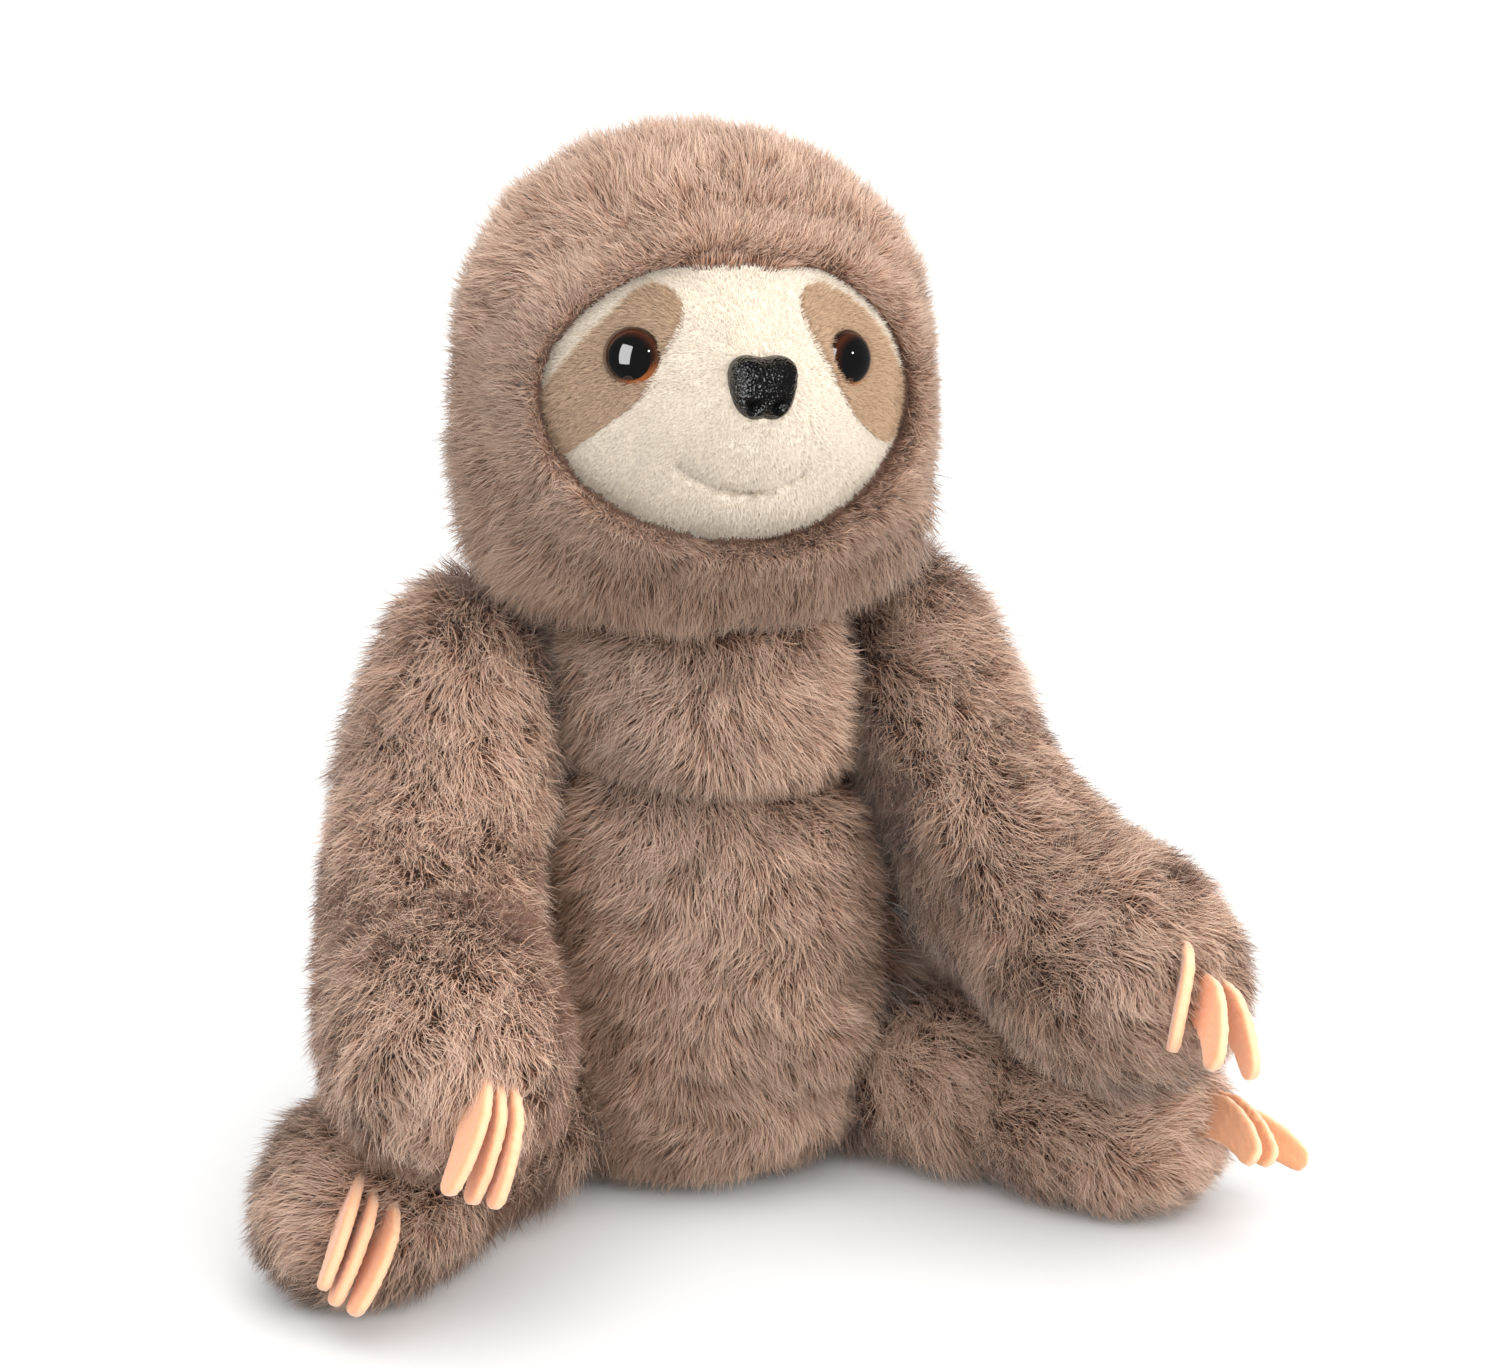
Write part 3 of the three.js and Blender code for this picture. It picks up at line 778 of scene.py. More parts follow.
def mean_of(values: Points, cells: Points) -> Points:
    """The mean of each cell's rows, given back for each row.

    Args:
        values: Rows of numbers.
        cells: The cell that each row belongs to.

    Returns:
        One mean for each row.
    """
    count = np.bincount(cells)
    flat = values.reshape(len(values), -1)
    means = np.column_stack([np.bincount(cells, column) / count for column in flat.T])
    return means[cells].reshape(values.shape)


@dataclass(frozen=True)
class Coat:
    """One layer of hair.

    Attributes:
        per_area: Hairs for each square millimetre.
        length: Their length in millimetres.
        width: Their width in millimetres.
        lift: Their angle to the cloth at the root and at the tip, in degrees.
        tuft: The size of a tuft in millimetres.
        gather: How strongly a tuft's tips lean together.
        key: The ends of its scale of dark and pale hairs.
        unruly: How much single hairs wander off.
        roll: How far a hair is turned about itself, in radians.
        steps: How many pieces a hair has from root to tip.
    """

    per_area: float
    length: float
    width: float
    lift: tuple[float, float]
    tuft: float
    gather: float
    key: tuple[float, float]
    unruly: float
    roll: float
    steps: int


@dataclass
class Growth:
    """Hairs that are rooted, combed and gathered, ready to be made a mesh."""

    ground: Ground
    coat: Coat
    comb: Comb
    seed: int
    keep: Callable[[Points], Points]
    shorten: Callable[[Points], Points] | None = None
    tone: Callable[[Points], Points] | None = None
    face_out: Comb | None = None

    def rooted(self, rng: np.random.Generator) -> tuple[Points, Points]:
        """Draws the hairs' roots and gives the way that the cloth faces there.

        Args:
            rng: The seeded source of chance.

        Returns:
            The roots and the directions.
        """
        roots, facing = self.ground.scatter(self.coat.per_area, rng)
        kept = self.keep(roots)
        roots, facing = roots[kept], facing[kept]
        if self.face_out is not None:
            facing = self.face_out(roots, facing)
        return roots, facing

    def bent(self, roots: Points, facing: Points, rng: np.random.Generator) -> Points:
        """Bends each hair from its root along the comb.

        Args:
            roots: Where the hairs are rooted.
            facing: Which way the cloth faces there.
            rng: The seeded source of chance.

        Returns:
            The places along each hair.
        """
        coat, count = self.coat, len(roots)
        flow = laid_flat(self.comb(roots, facing), facing)
        flow = normed(flow + rng.normal(size=(count, 3)) * STRAY)
        length = coat.length * rng.uniform(*LENGTH_SPREAD, count)
        if self.shorten is not None:
            length = length * self.shorten(roots)
        waft = rng.normal(size=(count, 3)) * coat.unruly
        start, end = (math.radians(angle) for angle in coat.lift)
        swell = drift(roots, SWELL_LENGTH, self.seed + 3) * SWELL
        raise_by = swell + rng.normal(size=count) * RISE
        spine = np.empty((count, coat.steps + 1, 3))
        spine[:, 0] = roots
        for step in range(coat.steps):
            angle = (start + (end - start) * (step + 0.5) / coat.steps + raise_by)[:, None]
            way = np.cos(angle) * flow + np.sin(angle) * facing + waft * (step + 1) / coat.steps
            spine[:, step + 1] = spine[:, step] + normed(way) * length[:, None] / coat.steps
        return spine

    def gathered(self, roots: Points, spine: Points, rng: np.random.Generator) -> Points:
        """Leans the hairs of each tuft together and keeps them off the floor.

        Args:
            roots: Where the hairs are rooted.
            spine: The places along each hair.
            rng: The seeded source of chance.

        Returns:
            The hairs' new places.
        """
        count = len(roots)
        share = np.linspace(0, 1, self.coat.steps + 1)[None, :, None]
        for scale, weight in TUFT_SCALES:
            lead = mean_of(spine, cell_of(roots, self.coat.tuft * scale, self.seed))
            target = lead + (spine - lead) * TUFT_CLOSE
            pull = self.coat.gather * weight
            strength = pull * rng.uniform(*GATHER_SPREAD, (count, 1, 1)) * share ** TUFT_BEND
            spine = spine + (target - spine) * np.minimum(strength, TUFT_LIMIT)
        lowest = FLOOR_GAP + FLOOR_SPREAD * rng.random((count, 1))
        spine[:, :, 2] = np.maximum(spine[:, :, 2], lowest)
        return spine

    def keyed(self, roots: Points, rng: np.random.Generator) -> Points:
        """Draws how dark or pale each hair is, which a tuft shares in part.

        Args:
            roots: Where the hairs are rooted, in millimetres.
            rng: The seeded source of chance.

        Returns:
            One number for each hair, where 0 is darkest.
        """
        tuft_key = chance_of(cell_of(roots, self.coat.tuft, self.seed), self.seed)
        low, high = self.coat.key
        key = low + (high - low) * rng.random(len(roots)) + tuft_key * TUFT_TONE
        if self.tone is not None:
            key = key + self.tone(roots)
        return np.clip(key, *TONE_ENDS)

    def grow(self) -> tuple[Points, Points, Points, Points, Points]:
        """Roots, combs and gathers the hairs.

        Returns:
            Each hair's places, the sideways direction and the shading direction at them, and its
            width and key.
        """
        rng = np.random.default_rng(self.seed)
        roots, facing = self.rooted(rng)
        spine = self.gathered(roots, self.bent(roots, facing, rng), rng)
        key = self.keyed(roots, rng)
        tangent = normed(np.gradient(spine, axis=1))
        facing = np.repeat(facing[:, None, :], self.coat.steps + 1, axis=1)
        across = normed(np.cross(tangent, facing))
        outward = np.cross(across, tangent)
        roll = (rng.uniform(-1, 1, len(roots)) * self.coat.roll)[:, None, None]
        side = across * np.cos(roll) + outward * np.sin(roll)
        width = self.coat.width * rng.uniform(*WIDTH_SPREAD, len(roots))
        lit = normed(facing + outward * SHADE_OUTWARD + side * SHADE_SIDE)
        return spine, side, lit, width, key

    def mesh(self, name: str, material: bpy.types.Material) -> bpy.types.Object:
        """Makes each hair a tapered ribbon of quads with a pointed tip.

        Args:
            name: The piece's name.
            material: Its finish.

        Returns:
            The new piece.
        """
        spine, side, lit, width, key = self.grow()
        count, steps = len(spine), self.coat.steps
        each = 2 * steps + 1
        taper = 0.5 * (1 - np.linspace(0, 1, steps + 1)[:-1] ** TAPER_BEND * TAPER)
        half = (width[:, None] * taper[None, :])[:, :, None]
        points = np.empty((count, each, 3))
        points[:, 0:-1:2] = spine[:, :-1] - side[:, :-1] * half
        points[:, 1:-1:2] = spine[:, :-1] + side[:, :-1] * half
        points[:, -1] = spine[:, -1]
        quad = (0, 1, 3, 2)
        corner = [2 * step + k for step in range(steps - 1) for k in quad]
        corner += [each - 3, each - 2, each - 1]
        along = [k / steps for step in range(steps - 1) for k in (step, step, step + 1, step + 1)]
        along += [(steps - 1) / steps, (steps - 1) / steps, 1.0]
        aside = [-1, 1, 1, -1] * (steps - 1) + [-1, 1, 0]
        turns = len(corner)
        loops = ((np.arange(count) * each)[:, None] + np.array(corner)[None, :]).ravel()
        starts = (np.arange(count)[:, None] * turns + np.arange(steps)[None, :] * 4).ravel()
        mesh = bpy.data.meshes.new(name)
        mesh.vertices.add(count * each)
        mesh.vertices.foreach_set("co", (points * MM).astype(np.float32).ravel())
        mesh.loops.add(len(loops))
        mesh.loops.foreach_set("vertex_index", loops.astype(np.int32))
        mesh.polygons.add(len(starts))
        mesh.polygons.foreach_set("loop_start", starts.astype(np.int32))
        chart = np.empty((count, turns, 2), np.float32)
        chart[:, :, 0] = key[:, None] + np.array(aside)[None, :] * MAP_WIDTH
        chart[:, :, 1] = np.array(along)[None, :]
        layer = mesh.uv_layers.new(name="OFBake")
        layer.data.foreach_set("uv", chart.ravel())
        mesh.polygons.foreach_set("use_smooth", np.ones(len(starts), bool))
        mesh.update(calc_edges=True)
        shading = np.empty((count, each, 3))
        shading[:, 0:-1:2] = lit[:, :-1]
        shading[:, 1:-1:2] = lit[:, :-1]
        shading[:, -1] = lit[:, -1]
        mesh.normals_split_custom_set_from_vertices(shading.reshape(-1, 3).astype(np.float32))
        mesh.materials.append(material)
        return placed(name, mesh)


UNDERCOAT = Coat(per_area=1.9, length=8.0, width=0.42, lift=(60, 50), tuft=3.0, gather=0.1,
                 key=(0.2, 0.9), unruly=0.34, roll=1.0, steps=1)
OVERCOAT = Coat(per_area=2.35, length=11.8, width=0.23, lift=(68, 14), tuft=2.6, gather=0.3,
                key=(0.2, 1.0), unruly=0.3, roll=0.8, steps=2)
LIMB_COAT = Coat(per_area=2.35, length=11.5, width=0.23, lift=(62, 10), tuft=2.6, gather=0.22,
                 key=(0.35, 1.0), unruly=0.26, roll=0.8, steps=2)
FLANK_COAT = Coat(per_area=3.2, length=21.0, width=0.45, lift=(66, 34), tuft=3.0, gather=0.2,
                  key=(0.0, 0.6), unruly=0.3, roll=0.8, steps=2)
RIM_COAT = Coat(per_area=5.5, length=11.5, width=0.3, lift=(56, 26), tuft=2.4, gather=0.2,
                key=(0.15, 0.9), unruly=0.3, roll=0.9, steps=1)
HEM_COAT = Coat(per_area=6.0, length=5.5, width=0.24, lift=(45, 5), tuft=2.2, gather=0.25,
                key=(0.3, 1.0), unruly=0.3, roll=0.8, steps=2)
FACE_COAT = Coat(per_area=7.4, length=1.9, width=0.13, lift=(50, 22), tuft=1.4, gather=0.1,
                 key=(0.3, 1.0), unruly=0.25, roll=0.9, steps=2)
PATCH_COAT = Coat(per_area=11.0, length=2.6, width=0.13, lift=(52, 20), tuft=1.6, gather=0.15,
                  key=(0.1, 1.0), unruly=0.22, roll=0.9, steps=2)


def ramp(values: Points | float, start: float, span: float, low: float = 0.0,
         high: float = 1.0) -> Points:
    """Values counted from a start in units of a span, kept between two ends."""
    return np.clip((values - start) / span, low, high)


def turned_about(vectors: Points, axes: Points, angles: Points) -> Points:
    """Vectors turned about axes that stand square to them."""
    angles = angles[:, None]
    return vectors * np.cos(angles) + np.cross(axes, vectors) * np.sin(angles)


@dataclass
class FurSkin:
    """A body or limb in fur: its stuffed form and the two coats that grow on it."""

    name: str
    body: str
    nodes: tuple[str, ...]
    seed: int
    shaped_by: tuple[str, ...] = ()
    pressed: float = 4.4
    voxel: float = 2.5
    rounds: int = 5
    fill: float = 0.7
    swirl: float = 0.45
    halves: bool = False
    overcoat: Coat = OVERCOAT
    form: bpy.types.Object = field(init=False)

    def comb(self, roots: Points, facing: Points) -> Points:
        """Which way the hair lies, before it wanders."""
        return np.tile([0.0, 0.0, -1.0], (len(roots), 1))

    def combed(self, roots: Points, facing: Points) -> Points:
        """The comb's direction, turned a little here and there as hands leave it.

        Args:
            roots: Where the hairs are rooted.
            facing: Which way the cloth faces there.

        Returns:
            The direction of each hair on the cloth.
        """
        flow = normed(laid_flat(self.comb(roots, facing), facing))
        wander = drift(roots, 42.0, self.seed + 11) * self.swirl
        wander = wander + drift(roots, 17.0, self.seed + 12) * 0.4
        for size, turn in ((9.0, 0.45), (4.5, 0.5)):
            wander = wander + chance_of(cell_of(roots, size, self.seed), self.seed) * turn
        return turned_about(flow, facing, wander)

    def keep(self, roots: Points) -> Points:
        """Where hair grows at all: not on the face that the toy rests on."""
        return roots[:, 2] > 1.0

    def in_front(self, roots: Points) -> Points:
        """Hair in front of the body's middle."""
        return self.keep(roots) & (roots[:, 1] < 0)

    def behind(self, roots: Points) -> Points:
        """Hair behind the body's middle."""
        return self.keep(roots) & (roots[:, 1] >= 0)

    def shorten(self, roots: Points) -> Points:
        """How much of its length a hair has."""
        return 1.0 + 0.1 * drift(roots, 25.0, self.seed + 21)

    def tone(self, roots: Points) -> Points:
        """How much paler or darker the hair is."""
        return 0.16 * drift(roots, 22.0, self.seed + 31)

    def face_out(self, roots: Points, facing: Points) -> Points:
        """Which way the cloth faces where a hair is rooted."""
        return facing

    def held(self, roots: Points) -> Points:
        """How much of the inward press a place of the form takes."""
        return np.ones(len(roots))

    def build(self) -> None:
        """Makes the stuffed form that stands for the skin and its filling."""
        self.form = stuffed(self.name + "_form", self.nodes + self.shaped_by, self.voxel,
                            self.pressed, self.rounds, FUR_CLOTH.material(), self.held)
        declare(self.form, self.body, self.nodes)
        LOG.info("%s: %d points", self.form.name, len(self.form.data.vertices))

    def grow(self, name: str, coat: Coat, seed: int, material: bpy.types.Material,
             keep: Callable[[Points], Points]) -> None:
        """Grows one piece of fur.

        Args:
            name: What stands behind the body's name in the piece's.
            coat: Its layer.
            seed: Which chance it takes.
            material: The fur's finish.
            keep: Where its hair is rooted.
        """
        growth = Growth(Ground(self.form), coat, self.combed, self.seed + seed, keep, self.shorten,
                        self.tone, self.face_out)
        piece = growth.mesh(f"{self.name}_{name}", material)
        declare(piece, self.body)
        LOG.info("%s: %d hairs", piece.name, len(piece.data.polygons) // coat.steps)

    def dress(self, material: bpy.types.Material) -> None:
        """Grows the undercoat, and the overcoat whole or in a front and a back half.

        Args:
            material: The fur's finish.
        """
        self.grow("undercoat", UNDERCOAT, 1, material, self.keep)
        if self.halves:
            self.grow("overcoat_front", self.overcoat, 2, material, self.in_front)
            self.grow("overcoat_back", self.overcoat, 3, material, self.behind)
        else:
            self.grow("overcoat", self.overcoat, 2, material, self.keep)


@dataclass
class TorsoSkin(FurSkin):
    """The body's fur, combed down over chest and belly, parted by a crease under the chest."""

    crease_z: float = 112.0
    crease_climb: float = 0.15
    crease_width: float = 5.0
    crease_depth: float = 1.2

    def flank(self, roots: Points) -> Points:
        """How far a root belongs to the flanks, on which the limbs lean."""
        return ramp(np.abs(roots[:, 0]), 36.0, 8.0) * (np.abs(roots[:, 2] - 66) < 26)

    def comb(self, roots: Points, facing: Points) -> Points:
        """Down, and a little away from the middle.

        Args:
            roots: Where the hairs are rooted, in millimetres.
            facing: Which way the cloth faces there.

        Returns:
            One direction for each hair.
        """
        flow = super().comb(roots, facing)
        flow[:, 0] = roots[:, 0] / 90.0 * (1.0 + 2.5 * self.flank(roots))
        return flow

    def shorten(self, roots: Points) -> Points:
        """Shorter in the crease under the chest, longer at the flanks."""
        crease = self.part(roots, self.crease_width)
        return super().shorten(roots) * (1 - 0.55 * crease + 0.5 * self.flank(roots))

    def held(self, roots: Points) -> Points:
        """The crease is drawn in deeper in front, most of all on the sloth's left."""
        share = ramp(roots[:, 0], -60.0, 80.0, 0.35) * (roots[:, 1] < 10)
        return 1 + self.crease_depth * share * self.part(roots, self.crease_width * 0.8)

    def part(self, roots: Points, reach: float) -> Points:
        """How near a root lies to the crease, which climbs towards the sloth's right."""
        climb = np.clip(-roots[:, 0], -20.0, 40.0) * self.crease_climb
        return np.exp(-((roots[:, 2] - self.crease_z - climb) / reach) ** 2)

    def at_flank(self, roots: Points) -> Points:
        """Where the left arm and leg lean on the body."""
        beside = (roots[:, 0] > 37) & (np.abs(roots[:, 1] + 14) < 32)
        return beside & (np.abs(roots[:, 2] - 63) < 19)

    def dress(self, material: bpy.types.Material) -> None:
        """Adds long fur at the left flank, which closes the gap under the arm."""
        super().dress(material)
        self.grow("flank_fur", FLANK_COAT, 4, material, self.at_flank)

    def tone(self, roots: Points) -> Points:
        """Painted shade: darker hair along the crease, in a fold beside it on the sloth's right and
        towards the seat; also darker in random patches.

        Args:
            roots: Where the hairs are rooted, in millimetres.

        Returns:
            What is added to each hair's key.
        """
        # Painted shade: darker towards the seat, in a fold on the right above the crease and along the
        # crease itself.
        low = np.clip((75.0 - roots[:, 2]) / 50.0, 0.0, 1.0)
        side = np.exp(-np.hypot((roots[:, 0] + 30.0) / 14.0, (roots[:, 2] - 121.0) / 7.0) ** 2)
        dark_patches = np.clip(drift(roots, 13.0, 77), 0.0, 1.0)
        crease = self.part(roots, self.crease_width)
        return super().tone(roots) - (1.3 * crease + 1.3 * side + 0.5 * dark_patches + 0.15 * low)


@dataclass
class HoodSkin(FurSkin):
    """The head's fur, combed back from the brow and outwards round the face.

    Places round the face are told by on_face, which is 1 on the edge of the face's oval.
    """

    opening: float = 0.968
    rim_ends: float = 1.16
    hem_starts: float = 0.983
    brow_hem: float = 31.2
    parting: Place = (0.0, -62.0, 212.0)
    middle: Place = (0.0, 4.0, 206.0)

    def on_face(self, roots: Points) -> Points:
        """How far a root lies outside the face's oval, where 1 is on its edge.

        Args:
            roots: Where the hairs are rooted, in millimetres.

        Returns:
            One number for each root.
        """
        local = moved(roots, head_pose().inverted())
        wide = local[:, 0] / FACE_HALF_WIDTH
        tall = (local[:, 2] - FACE_Z) / FACE_HALF_HEIGHT
        return np.where(local[:, 1] < 0, np.hypot(wide, tall), 9.0)

    def comb(self, roots: Points, facing: Points) -> Points:
        """Away from the middle of the face, and down by the fur's own weight.

        Args:
            roots: Where the hairs are rooted, in millimetres.
            facing: Which way the cloth faces there.

        Returns:
            One direction for each hair.
        """
        flow = normed(roots - np.array(self.parting))
        flow = normed(laid_flat(flow, facing))
        flow[:, 2] -= np.clip((225.0 - roots[:, 2]) / 60.0, 0.0, 1.2) * 1.1
        return flow

    def keep(self, roots: Points) -> Points:
        """Only outside the face's opening and above the neck."""
        return (self.on_face(roots) > self.opening) & (roots[:, 2] > NECK_Z + 1.0)

    def held(self, roots: Points) -> Points:
        """The form keeps nearly level with the face's cloth round the opening."""
        out = self.on_face(roots) - 1.0
        return np.where(out < 0, np.clip(-out / 0.06, 0.45, 1.0), ramp(out, 0.03, 0.2, 0.45))

    def face_out(self, roots: Points, facing: Points) -> Points:
        """Beside the face the hair stands away from the head, not into the opening.

        Args:
            roots: Where the hairs are rooted, in millimetres.
            facing: Which way the cloth faces there.

        Returns:
            The directions to use in place of the cloth's.
        """
        radial = normed(roots - np.array(self.middle))
        near = np.clip(1.5 - (self.on_face(roots) - 1.0) / 0.2, 0.0, 1.0)[:, None] * 0.5
        return normed(facing * (1 - near) + radial * near)

    def shorten(self, roots: Points) -> Points:
        """Shorter beside the face, so that its edge shows clean, and longer on the nape's sides.

        Args:
            roots: Where the hairs are rooted, in millimetres.

        Returns:
            One share for each hair.
        """
        away = ramp(self.on_face(roots), 1.0, 0.3)
        nape = np.clip((195.0 - roots[:, 2]) / 20.0, 0, 1) * ramp(np.abs(roots[:, 0]), 30, 15)
        return super().shorten(roots) * (0.4 + 0.6 * away) * (1.0 + 0.6 * nape)

    def tone(self, roots: Points) -> Points:
        """Paler beside the face; painted light and shade: darker below the crown, so the crown stands
        lit from above, and darker under the chin, where shade falls.

        Args:
            roots: Where the hairs are rooted, in millimetres.

        Returns:
            What is added to each hair's key.
        """
        near = np.clip((1.25 - self.on_face(roots)) / 0.2, 0.0, 1.0)
        # Painted shade: darker below the crown and under the chin.
        low = np.clip((240.0 - roots[:, 2]) / 20.0, 0.0, 1.0)
        chin = np.clip((185.0 - roots[:, 2]) / 15.0, 0.0, 1.0)
        return super().tone(roots) + 0.05 * near - 0.45 * low - 0.4 * chin

    def beside(self, roots: Points) -> Points:
        """The strip of the hood next to the face."""
        return self.keep(roots) & (self.on_face(roots) < self.rim_ends)

    def dress(self, material: bpy.types.Material) -> None:
        """Adds dense short fur beside the face, which hides the hood's cloth."""
        super().dress(material)
        self.grow("rim_fur", RIM_COAT, 6, material, self.beside)

    def rim(self, roots: Points) -> Points:
        """The strip of the face's cloth that the fur's seam covers, widest over the brow.

        Args:
            roots: Where the hairs are rooted, in millimetres.

        Returns:
            Whether each root lies there.
        """
        local = moved(roots, head_pose().inverted())
        ragged = drift(roots, 6.0, 61) * 0.5
        high = local[:, 2] - FACE_Z > self.brow_hem + ragged
        outer = self.on_face(roots) > self.hem_starts + ragged * 0.005
        return (high | outer) & (local[:, 1] < -16.5)

    def hem(self, cloth: bpy.types.Object, material: bpy.types.Material) -> None:
        """Grows short fur on the rim of the face's cloth, so that no seam shows.

        Args:
            cloth: The face's cloth.
            material: The fur's finish.
        """
        growth = Growth(Ground(cloth), HEM_COAT, self.combed, self.seed + 5, self.rim, None,
                        self.tone)
        declare(growth.mesh(self.name + "_hem_fur", material), self.body)


@dataclass
class LimbSkin(FurSkin):
    """An arm's or leg's fur, combed along the limb towards its end."""

    start: Place = (0.0, 0.0, 0.0)
    bend: Place = (0.0, 0.0, 0.0)
    end: Place = (0.0, 0.0, 0.0)
    hip: float = 0.0
    # How much paler painted light makes the limb's fur.
    paler: float = 0.0
    overcoat: Coat = LIMB_COAT

    def tone(self, roots: Points) -> Points:
        """Painted light: some limbs are made a little paler than the rest, as if more light fell on
        them.
        """
        return super().tone(roots) + self.paler

    def held(self, roots: Points) -> Points:
        """The paw's end stays full, so that its fur covers the roots of the claws."""
        away = np.linalg.norm(roots - np.array(self.end), axis=1)
        return ramp(away, 27.0, 14.0, 0.15)

    def shorten(self, roots: Points) -> Points:
        """Longer beside the body, where the limb is sewn on."""
        away = np.linalg.norm(roots - np.array(self.start), axis=1)
        return super().shorten(roots) * (1.0 + self.hip * np.clip((48.0 - away) / 12.0, 0.0, 1.0))

    def comb(self, roots: Points, facing: Points) -> Points:
        """Along the limb, and down by the fur's own weight.

        Args:
            roots: Where the hairs are rooted, in millimetres.
            facing: Which way the cloth faces there.

        Returns:
            One direction for each hair.
        """
        start, bend, end = (np.array(p) for p in (self.start, self.bend, self.end))
        upper, fore = normed(bend - start), normed(end - bend)
        share = np.clip(((roots - bend) @ normed(upper + fore)) / 24.0 + 0.5, 0.0, 1.0)[:, None]
        flow = upper * (1 - share) + fore * share
        flow[:, 2] -= 0.35
        flow[:, 0] += 0.25 * np.sign(start[0])
        return flow


@dataclass(frozen=True)
class Limb:
    """Where a limb runs, in millimetres, how its fur differs from the others' and how much painted
    light pales it.
    """

    kind: str
    side: Side
    seed: int
    start: Place
    bend: Place
    end: Place
    hip: float
    # How much paler painted light makes the limb's fur.
    paler: float = 0.0

    def skin(self) -> LimbSkin:
        """The limb's form and fur.

        Returns:
            The skin, not built yet.
        """
        nodes = tuple(f"{self.kind}_{inner}_{self.side.word}" for inner in ("skin", "filling"))
        name = f"{self.kind}_{self.side.word}"
        return LimbSkin(name, name, nodes, self.seed, start=self.start, bend=self.bend, end=self.end,
                        hip=self.hip, paler=self.paler)

    def claws(self) -> "ClawSet":
        """The limb's three claws."""
        return ClawSet(self.kind, self.side, self.end)


# The last number, where it is given, is painted light that pales the right arm and the left leg.
LIMBS = (
    Limb("arm", Side.LEFT, 300, (57, 10, 134), (65, -37, 95), (91.4, -83.6, 69.8), 0.3),
    Limb("arm", Side.RIGHT, 330, (-57, 10, 134), (-77, -27, 88), (-84.3, -82.0, 69.5), 0.3, 0.55),
    Limb("leg", Side.LEFT, 360, (46, -6, 24), (72, -36, 24), (98.1, -66.0, 22.5), 0.6, 1.0),
    Limb("leg", Side.RIGHT, 390, (-46, -6, 24), (-75, -33, 24), (-104.1, -60.2, 22.5), 0.6))


# The face.


def face_forward(x: Points, up: Points) -> Points:
    """How far the face's cloth stands forward, with its muzzle, in millimetres.

    Args:
        x: Across the face.
        up: Up from the middle of its oval.

    Returns:
        The distance in front of the head's middle plane.
    """
    wide = x / 54.5
    tall = (up - 2.0) / 55.5
    dome = np.sqrt(np.maximum(0.0, 1 - wide ** 2 - tall ** 2))
    return 47.0 * dome + 12.0 * np.exp(-(x / 28.0) ** 2 - ((up + 5.0) / 26.0) ** 2)


def seat_on_face(x: float, up: float, sunk: float) -> Matrix:
    """The way from millimetres about a place on the face to metres in the frame.

    Args:
        x: The place across the face.
        up: The place up the face.
        sunk: How deep behind the cloth it lies.

    Returns:
        The matrix that seats a piece there.
    """
    forward = float(face_forward(np.array(x), np.array(up)))
    seat = Matrix.Translation((x, sunk - forward, FACE_Z + up))
    return Matrix.Scale(MM, 4) @ head_pose() @ seat


def away_from(path: Sequence[tuple[float, float]], x: Points, up: Points) -> Points:
    """The distance from a line of points on the face.

    Args:
        path: The line's corners, across and up.
        x: Places across the face.
        up: Places up the face.

    Returns:
        One distance for each place.
    """
    best = np.full(x.shape, 1e9)
    for (x0, y0), (x1, y1) in zip(path[:-1], path[1:]):
        dx, dy = x1 - x0, y1 - y0
        share = np.clip(((x - x0) * dx + (up - y0) * dy) / (dx * dx + dy * dy), 0, 1)
        best = np.minimum(best, np.hypot(x - x0 - share * dx, up - y0 - share * dy))
    return best


# How often the corners of a patch's outline are cut off to round it.
CORNER_CUTS = 3


